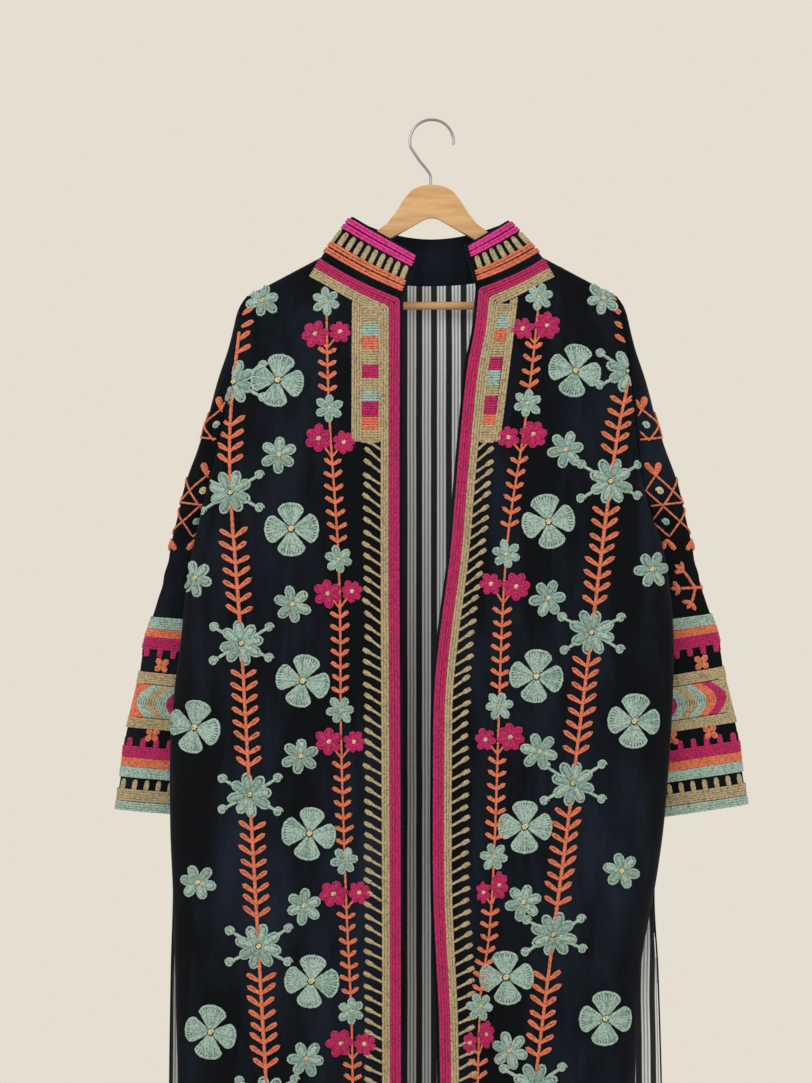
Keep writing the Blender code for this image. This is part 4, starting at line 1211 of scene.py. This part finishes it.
def strewn(work, line, start):
    """Places down a line, one in each repeat and each a little astray."""
    z = start
    while z > MOTIF_END_Z:
        yield (read_curve(line, z) + work.dice.uniform(-STRAY_X, STRAY_X),
               z + work.dice.uniform(-STRAY_Z, STRAY_Z))
        z -= REPEAT


def small_vine(work, line, first, folded):
    """Small vine: a looped flower in each repeat, over a fork with two crimson ones."""
    dice = work.dice
    flowers = [first + SMALL_FIRST_RISE] + [first - REPEAT * number for number in range(SMALL_REPEATS)]
    vine(work, line, flowers[0] - SMALL_TOP_DROP, flowers, SMALL_BARE, SMALL_LEAVES)
    for z in flowers:
        if z < MOTIF_END_Z:
            continue
        x = read_curve(line, z)
        looped_flower(work, (x, z), dice.uniform(0.0, 1.0), VINE_FLOWER_SIZE, middle=0.0024)
        fork = (read_curve(line, z - FORK_DROP), z - FORK_DROP)
        squash = mix(1.0, FOLD_SQUASH, smooth((FOLD_TOP_Z - z) / FOLD_FADE)) if folded else 1.0
        for side in (-1.0, 1.0):
            centre = (fork[0] + side * squash * (PAIR_SPREAD + dice.uniform(0.0, 0.002)),
                      z - PAIR_DROP + dice.uniform(-0.003, 0.003) + side * (1.0 - squash) * FOLD_SHIFT)
            if centre[1] < PAIR_END_Z:
                continue
            work.row("coral", [fork, centre], radius=0.0014)
            looped_flower(work, centre, dice.uniform(0.0, 1.0), CRIMSON_SIZES[0 if side * x < 0.0 else 1],
                          7 if side > 0 else 6, "crimson", 0.0028, squash)


def large_vine(work, line, first):
    """Large vine with a sunburst in each repeat."""
    bursts = [first + LARGE_FIRST_RISE] + [first - REPEAT * number for number in range(LARGE_REPEATS)]
    vine(work, line, bursts[0] + LARGE_TOP_RISE, bursts, LARGE_BARE, LARGE_LEAVES)
    for z in bursts:
        if z > MOTIF_END_Z:
            sunburst(work, (read_curve(line, z), z), work.dice.uniform(0.0, 0.6), BURST_SIZE)


def motif_columns(work, lines, firsts):
    """The four columns of a panel: small vine, flowers, large vine and side flowers."""
    dice = work.dice
    small_vine(work, lines["small_vine"], firsts["small_vine"], lines is MOTIF_LINES[1])
    for place in strewn(work, lines["flowers"], firsts["flowers"]):
        broad_flower(work, place, dice.uniform(-0.30, 0.30), BROAD_SIZE)
    for x, z in strewn(work, lines["flowers"], firsts["flowers"] - REPEAT / 2.0):
        looped_flower(work, (x - math.copysign(LOOPED_SHIFT, -x), z), dice.uniform(0.0, 1.0), LOOPED_SIZE)
    large_vine(work, lines["large_vine"], firsts["large_vine"])
    for number, place in enumerate(strewn(work, lines["side"], firsts["side"])):
        if number % 2:
            broad_flower(work, place, dice.uniform(-0.30, 0.30), BROAD_SIZE)
        else:
            looped_flower(work, place, dice.uniform(0.0, 1.0), LOOPED_SIZE)
    line_x = lines["flowers"][0][1]
    share, shoulder = SHOULDER_FLOWERS[-1 if line_x < 0.0 else 1]
    looped_flower(work, (line_x * share, shoulder), 0.3, SHOULDER_FLOWER_SIZE)


def edge_path(side, distance, low=HEM_Z):
    """Row beside the collar and then down the front edge, at one distance from both."""
    edge = LEFT_EDGE if side < 0 else RIGHT_EDGE
    corner_x = read_curve(edge, FRONT_NECK_Z[side]) + side * distance
    neck = []
    for step in range(NECK_SPANS + 1):
        x = mix(side * (NECK_X + 0.5 * distance), corner_x, step / NECK_SPANS)
        neck.append((x, front_neck_z(x, side) - distance * FRONT_NECK_WIDEN))
    down = []
    z = neck[-1][1] - 0.003
    while z > low:
        down.append((read_curve(edge, z) + side * distance, z))
        z -= EDGE_SPAN
    down.append((read_curve(edge, low) + side * distance, low))
    return neck + down


def stitch_plaque(work, side):
    """Squares of filled rows at the neck, with rows of sand beside them."""
    edge = LEFT_EDGE if side < 0 else RIGHT_EDGE
    work.row("sand", edge_path(side, PLAQUE_ROW, PLAQUE_LOW_Z), radius=BAND_RADIUS)
    for distance in PLAQUE_ROWS[side]:
        top = front_neck_z(read_curve(edge, -0.25) + side * distance, side) - PLAQUE_ROWS_DROP
        work.row("sand", [(read_curve(edge, top) + side * distance, top),
                          (read_curve(edge, PLAQUE_LOW_Z) + side * distance, PLAQUE_LOW_Z)],
                 radius=BAND_RADIUS)
    z = PLAQUE_LOW_Z
    while z < PLAQUE_HIGH_Z:
        shade = [thread for height, thread in PLAQUE_COLOURS[side] if z <= height][-1]
        inner, outer = (read_curve(edge, z) + side * distance for distance in PLAQUE_SQUARES[side])
        if z < front_neck_z(outer, side) - PLAQUE_SQUARES_DROP:
            work.row(shade, [(inner, z), (outer, z)], radius=FILL_RADIUS)
        z += ROW_PITCH


def stitch_stalks(work, side):
    """Slanted stalks with looped ends beside the front edge."""
    edge = LEFT_EDGE if side < 0 else RIGHT_EDGE
    z = STALK_TOP_Z
    while z > STALK_END_Z:
        share = (PLAQUE_LOW_Z - z) / (PLAQUE_LOW_Z - HEM_Z)
        start = (read_curve(edge, z) + side * STALK_START, z)
        rise = mix(*STALK_RISE, share) * work.dice.uniform(0.85, 1.12)
        reach = STALK_REACH * work.dice.uniform(0.92, 1.08)
        end = (start[0] + side * reach, z + rise)
        work.row("sand", [start, end], radius=FILL_RADIUS)
        angle = math.atan2(rise, side * reach)
        work.row("sand", turned(end, angle, petal_loop(0.0026, -0.0100, 0.0022, 8)), radius=0.0014)
        z -= STALK_PITCH * work.dice.uniform(0.95, 1.05)


def stitch_front(side, step):
    """Embroidery of a front: edge rows, plaque, stalks and the columns of motifs."""
    name = "stitching_front_left" if side < 0 else "stitching_front_right"
    work = Stitching(name, lambda x, z, lift: front_spot(x, z, side, lift), step)
    for distance, thread in EDGE_ROWS:
        work.row(thread, edge_path(side, distance, HEM_Z + 0.004), radius=BAND_RADIUS)
    stitch_plaque(work, side)
    stitch_stalks(work, side)
    motif_columns(work, MOTIF_LINES[side], FIRST_Z[side])
    return work.finish()


def stitch_back(step):
    """Embroidery of the back: rows under the neckline and the columns of motifs on both halves."""
    work = Stitching("stitching_back", back_spot, step)
    for distance, thread in EDGE_ROWS:
        path = []
        for number in range(BACK_NECK_SPANS + 1):
            x = mix(-NECK_X - 0.5 * distance, NECK_X + 0.5 * distance, number / BACK_NECK_SPANS)
            path.append((x, back_neck_z(x) - distance * BACK_NECK_WIDEN))
        work.row(thread, path, radius=BAND_RADIUS)
    for side in (-1, 1):
        lines = {name: tuple((z, side * x) for z, x in line) for name, line in BACK_LINES.items()}
        motif_columns(work, lines, FIRST_Z[0])
    return work.finish()


def sleeve_bands(work, side):
    """Bands of rows all round a sleeve."""
    for top, low, thread in SLEEVE_ROWS:
        count = math.ceil((top - low) / ROW_PITCH)
        for number in range(count + 1):
            level = mix(top, low, number / count)
            front, behind = half_round(level, side, 1), half_round(level, side, -1)
            work.row(thread, [(front - RING_MARGIN, level), (0.0, level), (RING_MARGIN - behind, level)],
                     radius=0.00165)


def sleeve_chevrons(work, side, way):
    """Band of bent rows that point at the outer fold, with the corners beside it filled."""
    threads = CHEVRON_THREADS[side]
    place = CHEVRON_START
    number = 0
    while place < half_round(COUNT_Z, side, way) - CHEVRON_MARGIN:
        bent = []
        for bend in range(CHEVRON_BENDS + 1):
            reach = CHEVRON_REACH * math.sin(math.pi * bend / CHEVRON_BENDS)
            bent.append((way * max(place - reach, 0.002),
                         mix(CHEVRON_TOP, CHEVRON_LOW, bend / CHEVRON_BENDS)))
        work.row(threads[(number // CHEVRON_ROWS) % len(threads)], bent, radius=0.0016)
        place += ROW_PITCH
        number += 1
    for number in range(CORNER_ROWS):
        for edge in (CHEVRON_TOP, CHEVRON_LOW):
            level = mix(edge, (CHEVRON_TOP + CHEVRON_LOW) / 2.0, number / CORNER_ROWS)
            curve = CHEVRON_REACH * math.sin(math.pi * number / (2 * CORNER_ROWS))
            work.row(threads[0], [(0.0, level), (way * max(CHEVRON_START - curve, 0.0015), level)],
                     radius=FILL_RADIUS)


def sleeve_teeth(work, side, way):
    """Crimson teeth on the crimson bands, with a small coral flower beside every third."""
    for number in range(int(half_round(COUNT_Z, side, way) / TOOTH_PITCH)):
        spot = way * (COUNT_START + number * TOOTH_PITCH)
        for base, tip in TEETH:
            work.row("crimson", [(spot - 0.0021, base), (spot - 0.0019, tip), (spot + 0.0019, tip),
                                 (spot + 0.0021, base)], radius=FILL_RADIUS, coarse=0.8)
            work.row("crimson", [(spot, base), (spot, tip)], radius=0.0019, sink=0.45)
        if number % 3 == 1:
            for level, shift in TOOTH_FLOWERS:
                looped_flower(work, (spot + way * shift, level), 0.78, TOOTH_FLOWER_SIZE, 4, "coral", 0.0012)


def cuff_bars(work, side, way):
    """Pointed bars of sand above the cuff."""
    base, shoulder, tip = CUFF_BAR
    for number in range(int(half_round(COUNT_Z, side, way) / CUFF_BAR_PITCH)):
        spot = way * (COUNT_START + number * CUFF_BAR_PITCH)
        left, right = spot - 0.0018, spot + 0.0018
        work.row("sand", [(left, base), (left, shoulder), (spot, tip), (right, shoulder), (right, base)],
                 radius=0.0015, coarse=0.8)
        work.row("sand", [(spot, base), (spot, shoulder)], radius=0.0016, sink=0.45)


def sleeve_lattices(work, way):
    """Diamonds with knots, leaves above each lattice and leaves that hang under the lower one."""
    height, width = DIAMOND_HALF_HEIGHT, DIAMOND_HALF_WIDTH
    centres = [way * (DIAMOND_START + column * 2.0 * width) for column in range(LATTICE_COLUMNS)]
    for centre_z, threads in LATTICES:
        for row, thread in enumerate(threads):
            level = centre_z - row * 2.0 * height
            for lean in (-1.0, 1.0):
                work.row("coral", [(0.0, level + lean * 0.88 * height), (way * 0.015, level)], radius=0.0013)
            for column, centre in enumerate(centres):
                work.row("coral", [(centre, level + height), (centre + width, level),
                                   (centre, level - height), (centre - width, level),
                                   (centre, level + height)], radius=0.0013)
                if column < LATTICE_COLUMNS - 1:
                    knot(work, (centre, level), 0.0046, thread if column == 0 else "cream")
        for centre in centres:
            for lean in (-0.52, 0.52):
                leaf(work, (centre, centre_z + height), math.pi / 2.0 + lean, 0.0165, 0.0078, middle=0.0026)
        work.row("coral", [(0.0, centre_z - height + 0.005),
                           (way * LATTICE_REACH, centre_z - height - 0.005)], radius=0.0013)
    for place in PENDANT_PLACES:
        for lean in (-0.6, 0.6):
            leaf(work, (way * place, PENDANT_Z), -math.pi / 2.0 + lean, 0.0150, 0.0066, middle=0.0022)


def sleeve_sprig(work, way):
    """Three branches from the outer fold, each with three leaves."""
    inward = 0.0 if way > 0.0 else math.pi
    for root, (end, level), turn in SPRIG:
        joint = (way * end, level)
        work.row("coral", [(way * root, SPRIG_Z), joint], radius=0.0020)
        for lean in (-0.80, 0.0, 0.80):
            leaf(work, joint, inward + (turn + lean) * way, 0.0115, 0.0044, radius=0.0015)


def stitch_sleeve(side, step):
    """Embroidery of a sleeve, by lengths round it from its outer fold, in front and then behind."""
    name = "stitching_sleeve_left" if side < 0 else "stitching_sleeve_right"
    work = Stitching(name, lambda length, level, lift: sleeve_spot(length, level, side, lift), step)
    sleeve_bands(work, side)
    for way in (1.0, -1.0):
        sleeve_chevrons(work, side, way)
        sleeve_teeth(work, side, way)
        cuff_bars(work, side, way)
        sleeve_lattices(work, way)
        if side > 0:
            sleeve_sprig(work, way)
        for number in range(3):
            base = (way * UPPER_LEAF_PLACE, UPPER_LEAF_Z - UPPER_LEAF_PITCH * number)
            for lean in (0.9, -0.9):
                leaf(work, base, math.pi / 2.0 + way * lean, 0.0150, 0.0055)
    return work.finish()


def stitch_collar(step):
    """Bands and bars round the collar; places are turned into lengths so that stitches stay even."""
    places = [3.0 * number / COLLAR_SPANS for number in range(COLLAR_SPANS + 1)]
    points = [collar_point(place, 0.5) for place in places]
    lengths = [0.0]
    for start, end in zip(points, points[1:]):
        lengths.append(lengths[-1] + (end - start).length)
    height = (collar_point(0.5, 1.0) - collar_point(0.5, 0.0)).length

    def spot(length, up, lift):
        if not 0.001 < length < lengths[-1] - 0.001 or not 0.0 <= up <= height:
            return None
        index = next(number for number in range(COLLAR_SPANS) if lengths[number + 1] >= length)
        share = (length - lengths[index]) / (lengths[index + 1] - lengths[index])
        return collar_spot(mix(places[index], places[index + 1], share), up / height, lift)

    work = Stitching("stitching_collar", spot, step)
    for share, thread in COLLAR_ROWS:
        up = share * height
        work.row(thread, [(COLLAR_MARGIN, up), (lengths[-1] - COLLAR_MARGIN, up)], radius=0.00185)
    low, top = (share * height for share in COLLAR_BAR_SHARES)
    place = COLLAR_BAR_START
    while place < lengths[-1] - COLLAR_BAR_END:
        left, right = place - COLLAR_BAR_HALF, place + COLLAR_BAR_HALF
        work.row("sand", [(left, low), (left, top - 0.002), (place, top), (right, top - 0.002), (right, low)],
                 radius=0.0016, coarse=0.8)
        work.row("sand", [(place, low), (place, top - 0.003)], radius=0.0015, sink=0.3)
        place += COLLAR_BAR_PITCH
    return work.finish()


def cloth_sheet(name, columns, rows, place, thickness, material, outward, weld=False):
    """Fine grid laid on a surface, thickened inwards; its UV is in metres of cloth from its middle."""
    work = bmesh.new()
    bmesh.ops.create_grid(work, x_segments=columns, y_segments=rows, size=0.5)
    layer = work.loops.layers.uv.new("UVMap")
    flat = {}
    for vert in work.verts:
        across, down = vert.co.x + 0.5, 0.5 - vert.co.y
        flat[vert.index] = (across, down)
        vert.co = place(across, down)
    lines, lengths = {}, {}
    for vert in work.verts:
        lines.setdefault(round(flat[vert.index][1] * rows), []).append(vert)
    for line in lines.values():
        line.sort(key=lambda vert: flat[vert.index][0])
        total = 0.0
        for before, vert in zip([line[0]] + line, line):
            total += (vert.co - before.co).length
            lengths[vert.index] = total
        middle = min(line, key=lambda vert: abs(vert.co.x))
        shift = lengths[middle.index] - middle.co.x
        for vert in line:
            lengths[vert.index] -= shift
    for face in work.faces:
        for loop in face.loops:
            loop[layer].uv = (lengths[loop.vert.index], loop.vert.co.z)
    if weld:
        bmesh.ops.remove_doubles(work, verts=work.verts, dist=1e-6)
    work.normal_update()
    work.faces.ensure_lookup_table()
    score = sum(face.normal.dot(outward(face.calc_center_median())) * face.calc_area()
                for face in work.faces)
    if score < 0.0:
        bmesh.ops.reverse_faces(work, faces=work.faces)
    mesh = bpy.data.meshes.new(name)
    work.to_mesh(mesh)
    work.free()
    mesh.shade_smooth()
    mesh.materials.append(get_material(material))
    made = bpy.data.objects.new(name, mesh)
    bpy.context.scene.collection.objects.link(made)
    wall = made.modifiers.new("wall", "SOLIDIFY")
    wall.thickness = thickness
    wall.offset = -1.0
    wall.use_even_offset = False
    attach(made, "root")
    return made


def row_down(share, start_z):
    """Height of a row: close together over the shoulder, wider apart below."""
    return mix(start_z, HEM_Z, share ** ROW_CROWDING)


def make_front(side, rows):
    """Velvet front; its columns stand closer together beside the armhole."""
    name = "velvet_front_left" if side < 0 else "velvet_front_right"

    def place(across, down):
        if across < ARMHOLE_SHARE:
            column = across / ARMHOLE_SHARE
        else:
            column = 1.0 + 2.0 * (across - ARMHOLE_SHARE) / (1.0 - ARMHOLE_SHARE)
        start = column_start(lambda z: front_x(column, z, side), side, True)
        z = row_down(down, start)
        x = front_x(column, z, side)
        return Vector((x, front_y(x, z, side), z))

    made = cloth_sheet(name, FRONT_COLUMNS, rows, place, CLOTH, "velvet_navy",
                       lambda centre: Vector((0.0, -1.0, 0.0)))
    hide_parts("front_left" if side < 0 else "front_right")


def make_back(rows):
    """Velvet back with its striped lining, which follows it on the inside."""
    def place(across, down, inset=0.0):
        column = across * 4.0
        start = column_start(lambda z: back_x(column, z), 0, False) - 0.3 * inset
        z = row_down(down, start)
        x = back_x(column, z)
        y = back_y(x, z)
        if inset:
            spot = back_spot(x, z, -inset)
            if spot:
                return spot
            # Beyond the back's borders the lining is drawn in towards the middle
            middle = -1.0 if x > 0.0 else 1.0
            return Vector((x + middle * inset * 0.8, y - inset * 0.35, z))
        return Vector((x, y, z))

    made = cloth_sheet("velvet_back", BACK_COLUMNS, rows, place, CLOTH, "velvet_navy",
                       lambda centre: Vector((0.0, 1.0, 0.0)))
    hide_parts("back")

    inset = CLOTH + LINING_GAP
    lining = cloth_sheet("cotton_lining_back", LINING_COLUMNS, rows * 2 // 3,
                         lambda across, down: place(across, down, inset),
                         LINING_CLOTH, "cotton_striped", lambda centre: Vector((0.0, 1.0, 0.0)))
    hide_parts("lining_back")


def make_sleeve(side):
    """Velvet sleeve, a tube below the underarm and open to the armhole above it."""
    name = "velvet_sleeve_left" if side < 0 else "velvet_sleeve_right"
    top, low = SLEEVE_LINES[0][0], SLEEVE_LINES[-1][0]

    def place(across, down):
        turn = math.pi * (1.0 - 2.0 * across)
        if down < SLEEVE_TOP_SHARE:
            level = mix(top, UNDERARM_Z, down / SLEEVE_TOP_SHARE)
        else:
            level = mix(UNDERARM_Z, low, (down - SLEEVE_TOP_SHARE) / (1.0 - SLEEVE_TOP_SHARE))
        return sleeve_face(turn, level, side)

    made = cloth_sheet(name, SLEEVE_COLUMNS, SLEEVE_ROWS_DOWN, place, CLOTH, "velvet_navy",
                       lambda centre: centre - Vector((side * 0.27, centre.y * 0.6 + 0.01, centre.z)), True)
    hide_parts("sleeve_left" if side < 0 else "sleeve_right")


def make_collar():
    """The strip's lower edge is turned in behind the neckline, as it is sewn."""
    def place(across, down):
        height = mix(1.0, COLLAR_TURN_IN, down)
        if height > 0.0:
            return collar_point(across * 3.0, height)
        return collar_spot(across * 3.0, height, COLLAR_TURN_LIFT)

    made = cloth_sheet("velvet_collar", COLLAR_COLUMNS, COLLAR_ROWS_UP, place, COLLAR_CLOTH, "velvet_navy",
                       collar_outward)
    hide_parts("collar")


def make_hanger():
    """Smoother copies of the hanger's wood and wire on their own solids' outlines; the bar keeps its shape
    and takes the beech.
    """
    work = bmesh.new()
    ring = [work.verts.new((x, -WOOD_HALF, z)) for x, z in wood_outline()]
    front = work.faces.new(ring)
    out = bmesh.ops.extrude_face_region(work, geom=[front])
    moved = [item for item in out["geom"] if isinstance(item, bmesh.types.BMVert)]
    bmesh.ops.translate(work, verts=moved, vec=(0.0, 2.0 * WOOD_HALF, 0.0))
    bmesh.ops.recalc_face_normals(work, faces=work.faces)
    corners = [edge for edge in work.edges if abs(edge.verts[0].co.y - edge.verts[1].co.y) > 1e-6]
    bmesh.ops.bevel(work, geom=corners, offset=WOOD_CORNER, segments=3, profile=0.5, affect="EDGES",
                    clamp_overlap=True, material=-1)
    rims = [edge for edge in work.edges if abs(edge.verts[0].co.y - edge.verts[1].co.y) < 1e-6
            and {len(face.verts) > 4 for face in edge.link_faces} == {True, False}]
    bmesh.ops.bevel(work, geom=rims, offset=WOOD_ROUND, segments=4, profile=0.5, affect="EDGES",
                    clamp_overlap=True, material=-1)
    mesh = bpy.data.meshes.new("wood_hanger")
    work.to_mesh(mesh)
    work.free()
    mesh.shade_smooth()
    mesh.set_sharp_from_angle(angle=math.radians(50))
    mesh.materials.append(get_material("beech_lacquered"))
    wood = bpy.data.objects.new("wood_hanger", mesh)
    bpy.context.scene.collection.objects.link(wood)
    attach(wood, "root")
    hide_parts("hanger_body")
    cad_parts["hanger_bar"].data.materials.clear()
    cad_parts["hanger_bar"].data.materials.append(get_material("beech_lacquered"))

    curve = bpy.data.curves.new("wire_hook", "CURVE")
    curve.dimensions = "3D"
    curve.bevel_depth = WIRE_RADIUS
    curve.bevel_resolution = 5
    curve.use_fill_caps = True
    curve.resolution_u = 6
    spline = curve.splines.new("POLY")
    points = hook_points()
    spline.points.add(len(points) - 1)
    for item, (x, z) in zip(spline.points, points):
        item.co = (x, 0.0, z, 1.0)
    spline.use_smooth = True
    curve.materials.append(get_material("wire_chromed"))
    hook = bpy.data.objects.new("wire_hook", curve)
    bpy.context.scene.collection.objects.link(hook)
    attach(hook, "root")
    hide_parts("hanger_hook")


class RobeSettings(PropertyGroup):
    rows: IntProperty(name="Cloth rows", description="Rows of the long panels", default=150, min=40, max=400)
    stitch: FloatProperty(name="Stitch length", description="Length of one chain stitch",
                          default=0.0036, min=0.001, max=0.01, subtype="DISTANCE", unit="LENGTH")
    distance: FloatProperty(name="Camera distance", description="From the cloth to the camera",
                            default=2.5, min=0.5, max=10.0, subtype="DISTANCE", unit="LENGTH")
    frame_height: FloatProperty(name="Frame height", description="Height of the picture at the cloth",
                                default=1.2996, min=0.1, max=5.0, subtype="DISTANCE", unit="LENGTH")
    # The velvet's deep navy, and the lighter colour of its painted sheen in streaks
    velvet: colour_setting("velvet", "Pile of the velvet where it lies away from the eye")
    velvet_painted_sheen: colour_setting("velvet_painted_sheen", "Pile of the velvet where it catches the light")
    teal: colour_setting("teal", "Pale teal thread of petals and bands")
    teal_shade: colour_setting("teal_shade", "Darker teal thread inside the petals")
    coral: colour_setting("coral", "Coral thread of vines, leaves and bands")
    crimson: colour_setting("crimson", "Crimson thread of edges, bands and small flowers")
    pink: colour_setting("pink", "Pink thread of the collar's upper bands")
    sand: colour_setting("sand", "Sand thread of edges, plaques, bars and bands")
    cream: colour_setting("cream", "Cream thread of the knots")
    lining_dark: colour_setting("lining_dark", "Dark stripes of the lining")
    lining_grey: colour_setting("lining_grey", "Grey ground of the lining's light bands")
    lining_white: colour_setting("lining_white", "White lines of the lining")
    beech_light: colour_setting("beech_light", "Light grain of the hanger's wood")
    beech_dark: colour_setting("beech_dark", "Dark grain of the hanger's wood")
    steel: colour_setting("steel", "Chrome of the hook")
    wall: colour_setting("wall", "Paint of the floor and light of the room")


class ROBE_OT_fronts(Operator):
    """Adds the two velvet fronts"""
    bl_idname = "robe.fronts"
    bl_label = "Fronts"
    bl_options = {"REGISTER", "UNDO"}

    def execute(self, context):
        for side in (-1, 1):
            make_front(side, context.scene.robe.rows)
        return {"FINISHED"}


class ROBE_OT_back(Operator):
    """Adds the velvet back with its striped lining"""
    bl_idname = "robe.back"
    bl_label = "Back and lining"
    bl_options = {"REGISTER", "UNDO"}

    def execute(self, context):
        make_back(context.scene.robe.rows)
        return {"FINISHED"}


class ROBE_OT_collar(Operator):
    """Adds the velvet collar"""
    bl_idname = "robe.collar"
    bl_label = "Collar"
    bl_options = {"REGISTER", "UNDO"}

    def execute(self, context):
        make_collar()
        return {"FINISHED"}


class ROBE_OT_sleeves(Operator):
    """Adds the two velvet sleeves"""
    bl_idname = "robe.sleeves"
    bl_label = "Sleeves"
    bl_options = {"REGISTER", "UNDO"}

    def execute(self, context):
        for side in (-1, 1):
            make_sleeve(side)
        return {"FINISHED"}


class ROBE_OT_stitching(Operator):
    """Adds the chain-stitch embroidery to every outer face"""
    bl_idname = "robe.stitching"
    bl_label = "Embroidery"
    bl_options = {"REGISTER", "UNDO"}

    def execute(self, context):
        step = context.scene.robe.stitch
        for side in (-1, 1):
            stitch_front(side, step)
            stitch_sleeve(side, step)
        stitch_back(BACK_STITCH * step)
        stitch_collar(step)
        return {"FINISHED"}


class ROBE_OT_hanger(Operator):
    """Adds the wooden hanger with its bar and chromed hook"""
    bl_idname = "robe.hanger"
    bl_label = "Hanger"
    bl_options = {"REGISTER", "UNDO"}

    def execute(self, context):
        make_hanger()
        return {"FINISHED"}


class ROBE_OT_stage(Operator):
    """Adds the pale floor, soft studio light and the camera"""
    bl_idname = "robe.stage"
    bl_label = "Stage"
    bl_options = {"REGISTER", "UNDO"}

    def execute(self, context):
        settings = context.scene.robe
        scene = context.scene
        width, depth, middle, drop = FLOOR
        work = bmesh.new()
        bmesh.ops.create_grid(work, x_segments=2, y_segments=2, size=0.5)
        for vert in work.verts:
            vert.co = Vector((vert.co.x * width, vert.co.y * depth + middle, HEM_Z - drop))
        mesh = bpy.data.meshes.new("floor")
        work.to_mesh(mesh)
        work.free()
        mesh.materials.append(get_material("paint_pale"))
        floor = bpy.data.objects.new("floor", mesh)
        scene.collection.objects.link(floor)

        world = bpy.data.worlds.new("studio")
        world.use_nodes = True
        world.node_tree.nodes["Background"].inputs["Color"].default_value = colour("wall")
        world.node_tree.nodes["Background"].inputs["Strength"].default_value = 1.0
        scene.view_settings.view_transform = "Standard"
        scene.world = world
        for name, place, size, energy in LAMPS:
            light = bpy.data.lights.new(name, "AREA")
            light.size = size
            light.energy = energy
            lamp = bpy.data.objects.new(name, light)
            scene.collection.objects.link(lamp)
            lamp.location = place
            way = Vector(LAMP_AIM) - Vector(place)
            lamp.rotation_euler = way.to_track_quat("-Z", "Y").to_euler()

        camera = bpy.data.cameras.new("camera")
        camera.sensor_fit = "VERTICAL"
        camera.sensor_height = SENSOR_HEIGHT
        camera.lens = camera.sensor_height * settings.distance / settings.frame_height
        viewer = bpy.data.objects.new("camera", camera)
        scene.collection.objects.link(viewer)
        viewer.location = (CAMERA_AIM[0], CAMERA_AIM[1] - settings.distance, CAMERA_AIM[2])
        viewer.rotation_euler = (math.pi / 2.0, 0.0, 0.0)
        scene.camera = viewer
        return {"FINISHED"}


class ROBE_PT_panel(Panel):
    """Settings and steps of the robe"""
    bl_idname = "ROBE_PT_panel"
    bl_label = "Robe"
    bl_space_type = "VIEW_3D"
    bl_region_type = "UI"
    bl_category = "Robe"

    def draw(self, context):
        settings = context.scene.robe
        for name in ("rows", "stitch", "distance", "frame_height", *HEX):
            self.layout.prop(settings, name)
        for step in STEPS:
            self.layout.operator(step.bl_idname)


STEPS = (ROBE_OT_fronts, ROBE_OT_back, ROBE_OT_collar, ROBE_OT_sleeves, ROBE_OT_stitching, ROBE_OT_hanger,
         ROBE_OT_stage)
CLASSES = (RobeSettings, *STEPS, ROBE_PT_panel)


def register():
    """Makes the settings, the steps and the panel known."""
    for item in CLASSES:
        bpy.utils.register_class(item)
    bpy.types.Scene.robe = PointerProperty(type=RobeSettings)


def unregister():
    """Takes them away again."""
    del bpy.types.Scene.robe
    for item in reversed(CLASSES):
        bpy.utils.unregister_class(item)


def main():
    """Runs every step."""
    register()
    bpy.ops.robe.fronts()
    bpy.ops.robe.back()
    bpy.ops.robe.collar()
    bpy.ops.robe.sleeves()
    bpy.ops.robe.stitching()
    bpy.ops.robe.hanger()
    bpy.ops.robe.stage()


if __name__ == "__main__":
    main()
